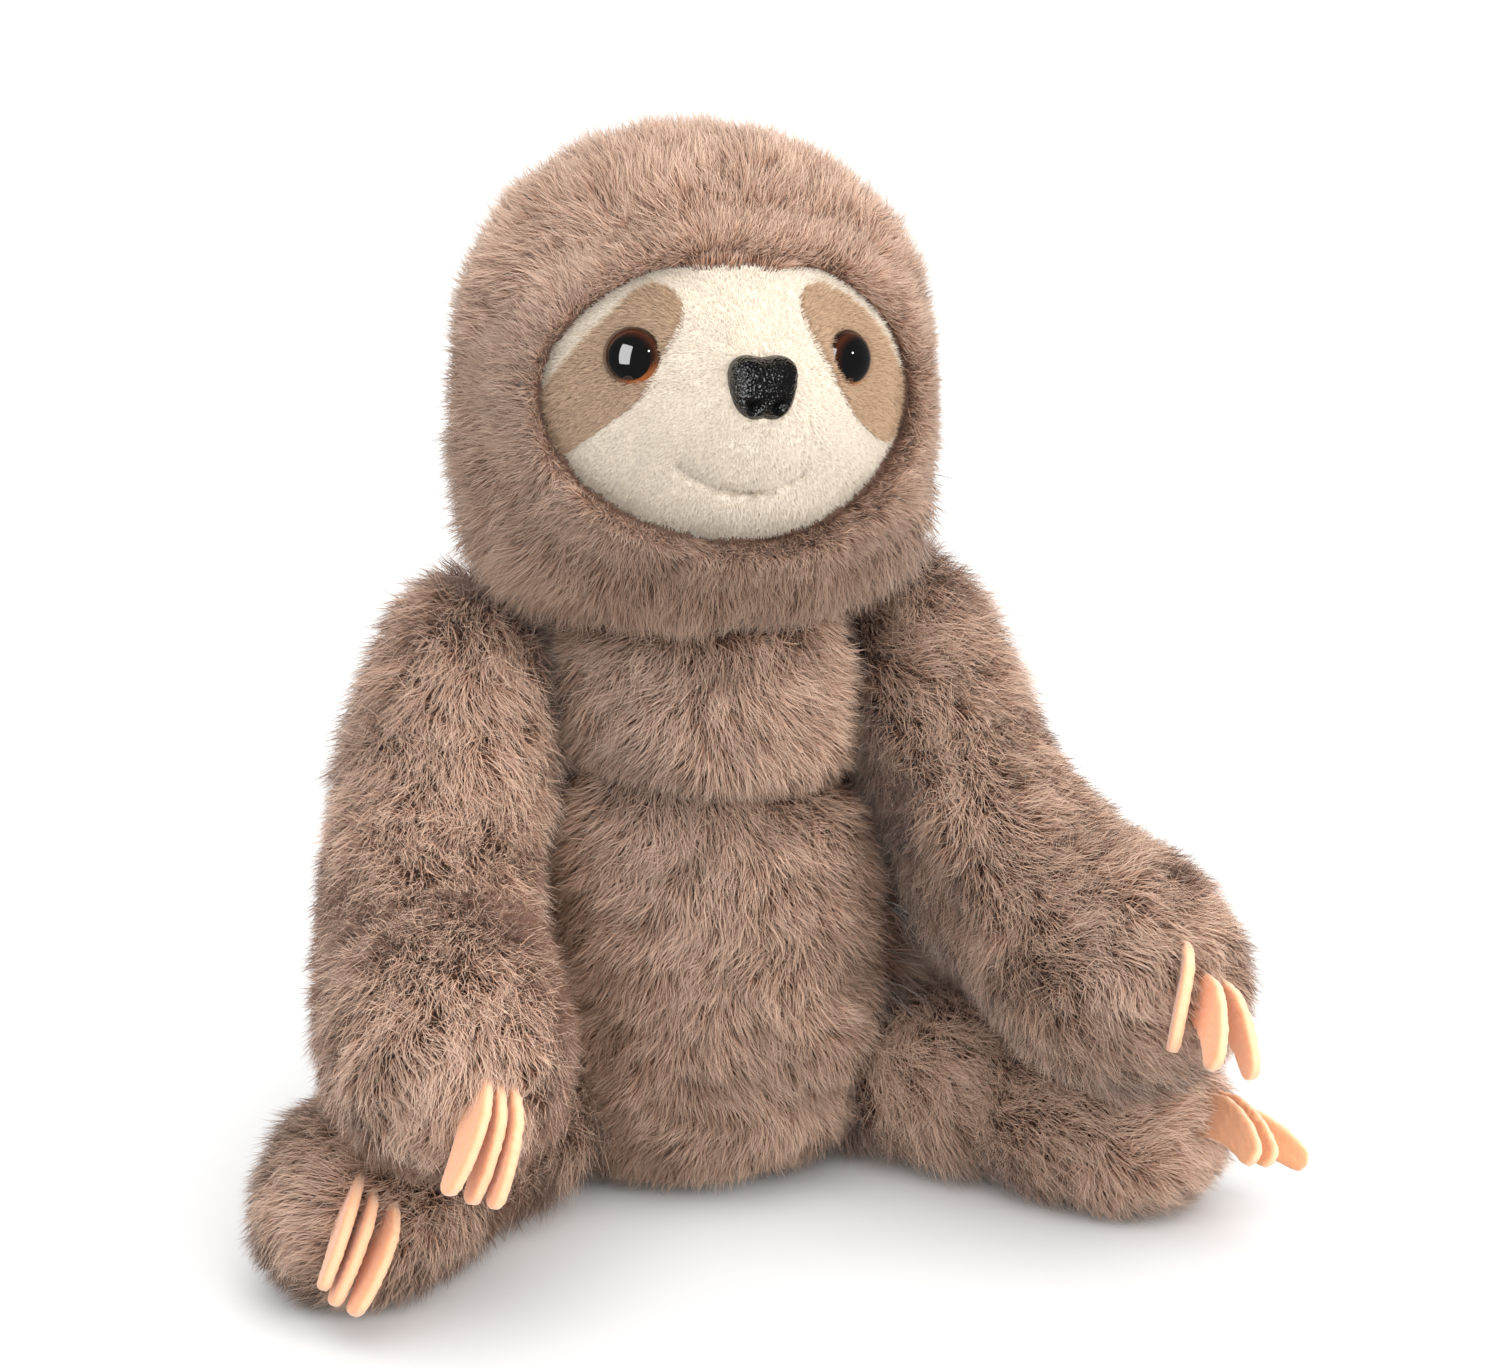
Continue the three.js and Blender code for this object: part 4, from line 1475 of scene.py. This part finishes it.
@dataclass
class Face:
    """The short-pile face with its smile, seams and eye patches, in millimetres.

    Places on it are told across, and up from the middle of its oval.
    """

    smile: tuple[tuple[float, float], ...] = (
        (-17.0, -15.0), (-14.6, -16.8), (-11.6, -18.4), (-8.0, -20.0), (-3.0, -21.2), (1.8, -21.3),
        (6.2, -20.5), (10.0, -18.8), (13.4, -16.4))
    seam: tuple[tuple[float, float], ...] = ((0.0, -6.0), (0.2, -20.0), (0.8, -34.0))
    patch_middle: tuple[float, float] = (30.0, 9.0)
    patch_cut: dict[Side, tuple[tuple[float, float], ...]] = field(default_factory=lambda: {
        Side.RIGHT: ((19.5, 27.6), (16.2, 24.0), (16.6, 19.0), (20.6, 13.0), (23.6, 6.6),
                     (26.8, -0.2), (33.0, -5.6), (38.4, -11.5), (41.5, -15.0), (44.5, -12.0),
                     (47.4, -4.0), (45.4, 1.8), (41.2, 9.4), (35.6, 16.4), (30.2, 21.8),
                     (25.0, 26.9)),
        Side.LEFT: ((14.6, 27.4), (12.2, 24.4), (13.2, 18.6), (16.0, 13.0), (19.4, 7.4),
                    (23.6, 0.6), (29.0, -5.0), (35.0, -9.0), (40.5, -11.0), (44.4, -8.0),
                    (46.4, 0.0), (43.8, 7.4), (38.2, 15.4), (31.0, 22.2), (23.6, 26.4),
                    (18.5, 28.2))})
    eye_x: float = 27.0
    eye_up: float = 10.5
    cheek_x: float = 26.5
    squares: int = 110
    patch_squares: int = 40
    back_y: float = -16.0
    least_forward: float = 17.0
    patch_proud: float = 0.35
    eye_bare: float = 5.6
    form: bpy.types.Object = field(init=False)

    def relief(self, x: Points, up: Points) -> Points:
        """How far the stitched lines and the sockets press the cloth in.

        Args:
            x: Places across the face.
            up: Places up the face.

        Returns:
            One depth in millimetres for each place.
        """
        mouth = away_from(self.smile, x, up)
        stitched = 1.7 + 1.3 * np.exp(-((x + 1.0) / 7.0) ** 2)
        depth = stitched * np.exp(-(mouth / 1.2) ** 2) + 1.0 * np.exp(-(mouth / 4.0) ** 2)
        below = np.exp(-((up + 25.5) / 3.5) ** 2 - (x / 12.0) ** 2)
        depth -= 0.9 * below
        depth += 0.45 * np.exp(-(away_from(self.seam, x, up) / 0.9) ** 2)
        for side in (1, -1):
            socket = np.hypot(x - side * self.eye_x, up - self.eye_up)
            depth += 1.5 * np.exp(-((socket - 3.0) / 5.0) ** 2)
            depth += 0.35 * np.exp(-((x - side * self.cheek_x) / 1.2) ** 2) * (up < -2)
        return depth

    def reach(self, side: Side, angle: Points) -> Points:
        """The distance from a patch's middle to its cut edge, in a direction.

        Args:
            side: Which patch.
            angle: The direction, in radians from outwards towards up.

        Returns:
            The distance in millimetres.
        """
        cut = np.array(self.patch_cut[side])
        for _ in range(CORNER_CUTS):
            after = np.roll(cut, -1, axis=0)
            cut = np.stack([cut * 0.75 + after * 0.25, cut * 0.25 + after * 0.75], 1).reshape(-1, 2)
        step = cut - np.array(self.patch_middle)
        turn = np.arctan2(step[:, 1], step[:, 0])
        order = np.argsort(turn)
        return np.interp(angle, turn[order], np.hypot(*step.T)[order], period=2 * math.pi)

    def in_patch(self, x: Points, up: Points) -> Points:
        """How far a place lies from the middle of the nearer patch, where 1 is on its edge.

        Args:
            x: Places across the face.
            up: Places up the face.

        Returns:
            One number for each place.
        """
        out = np.abs(x) - self.patch_middle[0]
        rise = up - self.patch_middle[1]
        angle = np.arctan2(rise, out)
        edge = np.where(x > 0, self.reach(Side.LEFT, angle), self.reach(Side.RIGHT, angle))
        return np.hypot(out, rise) / edge

    @staticmethod
    def disc(squares: int) -> tuple[bmesh.types.BMesh, Points, Points]:
        """Makes a square grid and gives its points' places on a round disc of radius one.

        Args:
            squares: How many squares it has along a side.

        Returns:
            The grid, and the places across and up.
        """
        shape = bmesh.new()
        bmesh.ops.create_grid(shape, x_segments=squares, y_segments=squares, size=1.0)
        a, b, _ = np.array([v.co for v in shape.verts]).T
        return shape, a * np.sqrt(1 - b * b / 2), b * np.sqrt(1 - a * a / 2)

    def sewn(self, shape: bmesh.types.BMesh, across: Points, up: Points, drawn_in: float,
             depth: Callable[[Points, Points], Points]) -> bmesh.types.BMesh:
        """Turns a flat disc into a closed form that lies on the face's dome.

        Args:
            shape: The disc.
            across: Its points' places across the face.
            up: Their places up the face.
            drawn_in: The size of its back against its front.
            depth: The points' y from how far forward the face stands there, and from whether they
                are on the back.

        Returns:
            The form in metres, in the head's pose.
        """
        for vert, x, z in zip(shape.verts, across, up):
            vert.co = (x, z, 0.0)
        rim = [edge for edge in shape.edges if edge.is_boundary]
        skirt = bmesh.ops.extrude_edge_only(shape, edges=rim)["geom"]
        for vert in (v for v in skirt if isinstance(v, bmesh.types.BMVert)):
            vert.co = (vert.co.x * drawn_in, vert.co.y * drawn_in, 1.0)
        bmesh.ops.edgeloop_fill(shape, edges=[e for e in shape.edges if e.is_boundary])
        across, up, back = np.array([v.co for v in shape.verts]).T
        forward = face_forward(across, up) - self.relief(across, up)
        for vert, y in zip(shape.verts, depth(forward, back)):
            vert.co = (vert.co.x, y, FACE_Z + vert.co.y)
        bmesh.ops.transform(shape, matrix=Matrix.Scale(MM, 4) @ head_pose(), verts=shape.verts)
        bmesh.ops.recalc_face_normals(shape, faces=shape.faces)
        return shape

    def oval(self) -> bmesh.types.BMesh:
        """The face's cloth: a closed oval whose front is the dome.

        Returns:
            The form in metres.
        """
        shape, across, up = self.disc(self.squares)
        return self.sewn(shape, across * FACE_HALF_WIDTH, up * FACE_HALF_HEIGHT, 0.97,
                         lambda forward, back: np.where(
                             back > 0.5, self.back_y, -np.maximum(forward, self.least_forward)))

    def patch(self, side: Side) -> bmesh.types.BMesh:
        """One eye patch, lying on the face's cloth.

        Args:
            side: Which patch.

        Returns:
            The form in metres.
        """
        shape, across, up = self.disc(self.patch_squares)
        edge = self.reach(side, np.arctan2(up, across))
        out, rise = self.patch_middle
        return self.sewn(shape, side.value * (out + across * edge), rise + up * edge, 1.0,
                         lambda forward, back: -forward - self.patch_proud + back)

    def build(self) -> None:
        """Makes the face's cloth and the two patches sewn into it."""
        self.form = in_order(finished("face_cloth", self.oval(), CREAM_CLOTH.material()))
        declare(self.form, "head", ["face_panel"])
        patch_cloth = BEIGE_CLOTH.material()
        for side in Side:
            name = "eye_patch_cloth_" + side.word
            patch = in_order(finished(name, self.patch(side), patch_cloth))
            declare(patch, "head", ["eye_patch_" + side.word])
        LOG.info("face: %d points", len(self.form.data.vertices))

    def comb(self, roots: Points, facing: Points) -> Points:
        """Short pile that runs down and away from the nose.

        Args:
            roots: Where the hairs are rooted, in millimetres.
            facing: Which way the cloth faces there.

        Returns:
            One direction for each hair.
        """
        flow = normed(roots - np.array([0.0, -60.0, 218.0]))
        flow[:, 2] -= 0.5
        return flow

    def local(self, roots: Points) -> tuple[Points, Points, Points]:
        """A root's place across and up the face, and how far forward it stands."""
        places = moved(roots, head_pose().inverted())
        return places[:, 0], places[:, 2] - FACE_Z, -places[:, 1]

    def bare(self, x: Points, up: Points, forward: Points) -> Points:
        """Where no pile grows: under an eye or the nose, and on the cloth's edge.

        Args:
            x: Places across the face.
            up: Places up the face.
            forward: How far forward they stand.

        Returns:
            Whether each place is bare.
        """
        eye = np.hypot(np.abs(x) - self.eye_x, up - self.eye_up) < self.eye_bare
        nose = np.hypot(x / 7.6, (up - 4.0) / 7.0) < 1.0
        return eye | nose | (forward < 17.2) | (up > 31.4)

    def blurred(self, roots: Points) -> Points:
        """A patch's edge for in_patch, ragged so that the two piles blend over a few hairs."""
        return 1.0 + 0.035 * drift(roots, 0.7, 71, 9)

    def on_cream(self, roots: Points) -> Points:
        """Outside the patches."""
        x, up, forward = self.local(roots)
        return (self.in_patch(x, up) > self.blurred(roots)) & ~self.bare(x, up, forward)

    def on_beige(self, roots: Points) -> Points:
        """Inside the patches."""
        x, up, forward = self.local(roots)
        return (self.in_patch(x, up) <= self.blurred(roots)) & ~self.bare(x, up, forward)

    def dress(self) -> None:
        """Grows the short pile, cream on the face and beige on its patches."""
        ground = Ground(self.form)
        for name, coat, keep, finish, slot, seed in (
                ("face_short_pile", FACE_COAT, self.on_cream, CREAM_PILE, "face_pile", 401),
                ("eye_patch_short_pile", PATCH_COAT, self.on_beige, BEIGE_PILE, "patch_pile", 402)):
            piece = Growth(ground, coat, self.comb, seed, keep).mesh(name, finish.material())
            declare(piece, "head")
            LOG.info("%s: %d hairs", name, len(piece.data.polygons) // coat.steps)


@dataclass
class Eye:
    """One domed safety eye: amber ring and black pupil under one clear dome.

    Below its dome it has a rim and a point on the axis, which lie inside the cloth.
    """

    side: Side
    radius: float = 7.4
    rise: float = 5.0
    sunk: float = 1.0
    half_spacing: float = 27.0
    aside: float = -1.2
    up: float = 10.2
    splay: float = 28.0
    rim: tuple[float, float] = (0.05, -0.5)
    point: float = -1.2
    # How the painted glow of light leans across and down the ring.
    glow: tuple[float, float] = (0.45, 0.9)
    steps: int = 24
    turns: int = 72

    def dome(self) -> bmesh.types.BMesh:
        """Spins the eye's outline about its axis, which is z.

        Returns:
            The closed form in millimetres, with the middle of the dome's foot at the origin.
        """
        ball = (self.radius ** 2 + self.rise ** 2) / (2 * self.rise)
        wide = math.asin(self.radius / ball)
        shape = bmesh.new()
        outline = []
        for step in range(self.steps + 1):
            angle = wide * step / self.steps
            place = (ball * math.sin(angle), 0.0, ball * math.cos(angle) - ball + self.rise)
            outline.append(shape.verts.new(place))
        outline.append(shape.verts.new((self.radius + self.rim[0], 0.0, self.rim[1])))
        outline.append(shape.verts.new((0.0, 0.0, self.point)))
        for first, second in zip(outline[:-1], outline[1:]):
            shape.edges.new((first, second))
        bmesh.ops.spin(shape, geom=shape.verts[:] + shape.edges[:], cent=(0, 0, 0), axis=(0, 0, 1),
                       angle=2 * math.pi, steps=self.turns, use_merge=True)
        bmesh.ops.remove_doubles(shape, verts=shape.verts, dist=MERGE_SPUN)
        bmesh.ops.recalc_face_normals(shape, faces=shape.faces)
        return shape

    def build(self, material: bpy.types.Material) -> None:
        """Makes the eye and sets it on the face.

        Args:
            material: Its finish.
        """
        shape = self.dome()
        spot = np.array([v.co for v in shape.verts])
        ring = np.hypot(spot[:, 0], spot[:, 1]) / self.radius
        # Where the painted glow of light lies: low on the ring.
        low = (spot[:, 0] * self.glow[0] - spot[:, 1] * self.glow[1]) / self.radius
        lay = Matrix.Rotation(math.radians(90), 4, "X")
        splay = Matrix.Rotation(math.radians(self.side.value * self.splay), 4, "Z")
        x = self.side.value * self.half_spacing + self.aside
        place = seat_on_face(x, self.up, self.sunk) @ splay @ lay
        bmesh.ops.transform(shape, matrix=place, verts=shape.verts)
        piece = in_order(finished("eye_dome_" + self.side.word, shape, material))
        set_value(piece.data, "ring", ring)
        set_value(piece.data, "low", low)
        declare(piece, "head",
                ["eye_iris_" + self.side.word, "eye_core_" + self.side.word])
        LOG.info("%s", piece.name)


@dataclass
class Nose:
    """The moulded nose: two lobes on top, narrower below, with a nostril on each side."""

    half_width: float = 8.3
    height: float = 15.2
    rise: float = 6.8
    sunk: float = 1.6
    up: float = 4.4
    notch: float = 0.35
    squareness: tuple[float, float] = (0.22, 0.20)
    narrowing: float = 0.26
    bluntness: float = 0.62
    back: float = 1.5
    brow: float = 0.9
    nostril_x: float = 3.0
    nostril_down: float = 4.2
    nostril_depth: float = 2.4
    nostril_radius: float = 1.25
    curl_depth: float = 0.9
    lip: float = 0.35
    cleft_depth: float = 0.5

    def moulded(self, ball: Vector) -> Place:
        """Moves a point of a ball of radius one to its place on the nose.

        Args:
            ball: The point, with z towards the front.

        Returns:
            Its place in millimetres, with z upwards and the front towards -y.
        """
        across, high, out = ball
        half = self.height / 2
        share = math.hypot(across, high)
        sine = high / share if share > 1e-6 else 0.0
        cosine = across / share if share > 1e-6 else 0.0
        dip = self.notch * math.exp(-((3 * cosine) ** 2)) if sine > 0 else 0.0
        square = 1 + self.squareness[0 if sine > 0 else 1] * (2 * cosine * sine) ** 2
        z = (half - dip) * sine * share * square
        narrow = 1 - self.narrowing * max(0.0, -z / half + 0.05) ** 1.1
        x = self.half_width * cosine * share * square * narrow
        front = self.rise * abs(out) ** self.bluntness if out > 0 else -self.back * abs(out)
        front -= self.brow * max(0.0, sine * share) ** 2 * (out > 0)
        if out > 0:
            front = self.carved(front, x, z)
        return (x, -front, z)

    def carved(self, front: float, x: float, z: float) -> float:
        """The front once the nostrils, their lips and the cleft are pressed into it.

        Args:
            front: How far forward a point of the nose stands.
            x: The point's place across the nose.
            z: The point's place up the nose.

        Returns:
            The point's new distance forward.
        """
        hole = math.hypot(abs(x) - self.nostril_x, (z + self.nostril_down) * 1.05)
        curl = math.hypot(abs(x) - self.nostril_x - 1.5, (z + self.nostril_down - 1.2) * 1.2)
        front -= (self.nostril_depth * math.exp(-(hole / self.nostril_radius) ** 2)
                  + self.curl_depth * math.exp(-(curl / 0.9) ** 2))
        front += self.lip * math.exp(-((hole - 2.3) / 0.8) ** 2)
        return front - self.cleft_depth * math.exp(-(x / 0.6) ** 2) * (z < -5.2)

    def build(self) -> None:
        """Shapes a finely divided ball into the nose and sets it on the muzzle."""
        shape = bmesh.new()
        bmesh.ops.create_uvsphere(shape, u_segments=96, v_segments=64, radius=1.0)
        for vert in shape.verts:
            vert.co = self.moulded(vert.co)
        place = seat_on_face(0.0, self.up, self.sunk)
        bmesh.ops.transform(shape, matrix=place, verts=shape.verts)
        bmesh.ops.recalc_face_normals(shape, faces=shape.faces)
        piece = in_order(finished("nose_moulding", shape, NOSE_PLASTIC.material()))
        declare(piece, "head", ["nose"])
        LOG.info("nose")


@dataclass
class ClawSet:
    """The three felt claws at the end of one limb."""

    limb: str
    side: Side
    paw: Place
    voxel: float = 0.55
    length: float = 33.0
    drawn_in: float = 10.0
    broader: float = 0.3
    end_points: int = 60

    def rooted(self, places: Points) -> Points:
        """Draws a claw's root towards the middle of the paw, where it is sewn in.

        Args:
            places: The claw's points.

        Returns:
            Their new places.
        """
        inward = np.array(self.paw) - places
        away = np.linalg.norm(inward, axis=1)
        root = places[np.argsort(away)[:self.end_points]].mean(0)
        far = np.linalg.norm(places - root, axis=1)
        tip = places[np.argsort(far)[-self.end_points:]].mean(0)
        share = ((places - root) @ normed(tip - root)) / self.length
        pull = np.clip(1 - share / 0.5, 0.0, 1.0) ** 1.5 * self.drawn_in
        return places + normed(inward) * np.minimum(pull, away * 0.6)[:, None]

    def build(self, material: bpy.types.Material) -> None:
        """Softens each CAD claw into cut felt, broadens it and marks its edges, which its finish
        paints paler as lit.

        Args:
            material: The felt's finish.
        """
        body = self.limb + "_" + self.side.word
        for order in (1, 2, 3):
            node = f"{self.limb}_claw_{self.side.word}_{order}"
            piece = stuffed("felt_" + node, [node], self.voxel, 0.0, 3, material)
            facing = normals_of(piece.data)
            places = points_of(piece.data)
            spread = places - places.mean(0)
            _, broad, flat = np.linalg.svd(spread, full_matrices=False)[2]
            places = places + np.outer(spread @ broad, broad) * self.broader
            # The edges, square to the claw's flat, take the painted light of the felt's finish.
            cut = 1 - np.abs(facing @ flat)
            rough = drift(places, 2.2, 90 + order) * 0.10 + drift(places, 0.9, 95 + order) * 0.05
            set_points(piece.data, self.rooted(places + facing * rough[:, None]))
            set_value(piece.data, "cut_edge", np.clip(cut * 1.3 - 0.2, 0, 1))
            declare(piece, body, [node])
        LOG.info("claws of %s", body)


@dataclass
class Insides:
    """What the fur hides: the sack of pellets and the lock washers."""

    voxel: float = 2.5
    rounds: int = 2
    fill: float = 0.5

    def build(self) -> None:
        """Makes the sack's cloth and gives the washers their plastic."""
        sack = stuffed("pellet_sack_cloth", ["pellet_sack"], self.voxel, 0.0, self.rounds,
                       SACK_CLOTH.material())
        declare(sack, "torso", ["pellet_sack"])
        lock = LOCK_PLASTIC.material()
        for node in ("eye_washer_left", "eye_washer_right", "nose_washer"):
            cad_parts[node].data.materials[0] = lock
        LOG.info("insides")


# The studio.


@dataclass(frozen=True)
class Lamp:
    """One soft studio light, aimed at the sloth, in metres and watts."""

    name: str
    place: Place
    size: tuple[float, float]
    power: float
    round: bool = False
    diffuse: bool = True
    glossy: bool = True
    aim: Place = (0.0, 0.0, 0.14)

    def light(self) -> None:
        """Hangs the light."""
        data = bpy.data.lights.new(self.name, "AREA")
        data.shape = "DISK" if self.round else "RECTANGLE"
        data.size = self.size[0]
        if not self.round:
            data.size_y = self.size[1]
        data.energy = self.power
        lamp = placed(self.name, data)
        lamp.visible_diffuse = self.diffuse
        lamp.visible_glossy = self.glossy
        lamp.location = self.place
        way = Vector(self.aim) - Vector(self.place)
        lamp.rotation_euler = way.to_track_quat("-Z", "Y").to_euler()


@dataclass
class Studio:
    """The camera at the photograph's angle, a pale floor and soft light, in metres and degrees."""

    azimuth: float = -16.0
    elevation: float = 18.0
    distance: float = 0.95
    aim: Place = (0.0, 0.0, 0.13)
    sensor: float = 36.0
    lens: float = 87.6
    shift: tuple[float, float] = (0.0367, -0.0027)
    farthest: float = 20.0
    floor_half: float = 12.0
    sun: float = 2.4
    sun_spread: float = 70.0
    sun_tilt: tuple[float, float] = (14.0, 6.0)
    white: float = 1.2
    white_in_gloss: float = 0.12
    lamps: tuple[Lamp, ...] = (
        Lamp("tall_softbox", (-0.95, -0.72, 0.62), (0.8, 1.2), 1.8, glossy=False),
        Lamp("side_softbox", (1.00, -0.95, 0.26), (0.8, 1.0), 8.0, glossy=False),
        Lamp("low_fill", (0.75, -1.10, 0.10), (0.9, 0.3), 4.0, glossy=False),
        Lamp("window", (-0.92, -0.72, 0.58), (0.9, 1.5), 30.0, diffuse=False),
        Lamp("round_lamp", (0.75, -0.95, 0.80), (0.12, 0.12), 1.6, True))

    def build(self) -> None:
        """Sets up the camera, the floor, the lights and the surroundings."""
        self.camera()
        self.floor()
        for lamp in self.lamps:
            lamp.light()
        self.ceiling()
        self.surroundings()
        LOG.info("studio: %d lamps and a ceiling light", len(self.lamps))

    def camera(self) -> None:
        """Sets up the camera."""
        data = bpy.data.cameras.new("camera")
        data.sensor_width = self.sensor
        data.lens = self.lens
        data.shift_x, data.shift_y = self.shift
        data.clip_end = self.farthest
        turn, tip = math.radians(self.azimuth), math.radians(self.elevation)
        back = Vector((math.sin(turn) * math.cos(tip), -math.cos(turn) * math.cos(tip), math.sin(tip)))
        eye = placed("camera", data)
        eye.location = Vector(self.aim) + back * self.distance
        eye.rotation_euler = (-back).to_track_quat("-Z", "Y").to_euler()
        bpy.context.scene.camera = eye

    def floor(self) -> None:
        """Lays the paper."""
        shape = bmesh.new()
        bmesh.ops.create_grid(shape, x_segments=1, y_segments=1, size=self.floor_half)
        paper = finished("studio_floor", shape, STUDIO_PAPER.material())
        paper.visible_glossy = False

    def ceiling(self) -> None:
        """Lights the scene from above, as a wide white ceiling does."""
        sky = bpy.data.lights.new("ceiling_light", "SUN")
        sky.energy = self.sun
        sky.angle = math.radians(self.sun_spread)
        ceiling = placed("ceiling_light", sky)
        ceiling.rotation_euler = (*(math.radians(angle) for angle in self.sun_tilt), 0.0)
        ceiling.visible_glossy = False

    def surroundings(self) -> None:
        """Makes the surroundings white, and dim in what gloss reflects."""
        world = bpy.data.worlds.new("surroundings")
        world.use_nodes = True
        tree = world.node_tree
        light = tree.nodes["Background"]
        path = tree.nodes.new("ShaderNodeLightPath")
        dim = tree.nodes.new("ShaderNodeMapRange")
        dim.inputs["To Min"].default_value = self.white
        dim.inputs["To Max"].default_value = self.white_in_gloss
        tree.links.new(path.outputs["Is Glossy Ray"], dim.inputs["Value"])
        tree.links.new(dim.outputs[0], light.inputs["Strength"])
        light.inputs["Color"].default_value = (1.0, 1.0, 1.0, 1.0)
        bpy.context.scene.world = world
        bpy.context.scene.view_settings.view_transform = "Standard"


def main() -> None:
    """Builds the sloth's pieces in order and dresses them."""
    logging.basicConfig(level=logging.INFO, format="%(name)s %(message)s")
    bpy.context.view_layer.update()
    Studio().build()
    fur = TAUPE_FUR.material()
    torso = TorsoSkin("torso", "torso", ("torso_skin", "torso_filling"), 100, pressed=3.4,
                      halves=True)
    hood = HoodSkin("head", "head", ("head_hood", "head_filling"), 200,
                    ("face_panel", "eye_patch_left", "eye_patch_right"), rounds=16, halves=True)
    for skin in (torso, hood, *(limb.skin() for limb in LIMBS)):
        skin.build()
        skin.dress(fur)
    face = Face()
    face.build()
    face.dress()
    hood.hem(face.form, fur)
    amber = AMBER_EYE.material()
    for side in Side:
        Eye(side).build(amber)
    Nose().build()
    felt = CLAW_FELT.material()
    for limb in LIMBS:
        limb.claws().build(felt)
    Insides().build()


if __name__ == "__main__":
    main()
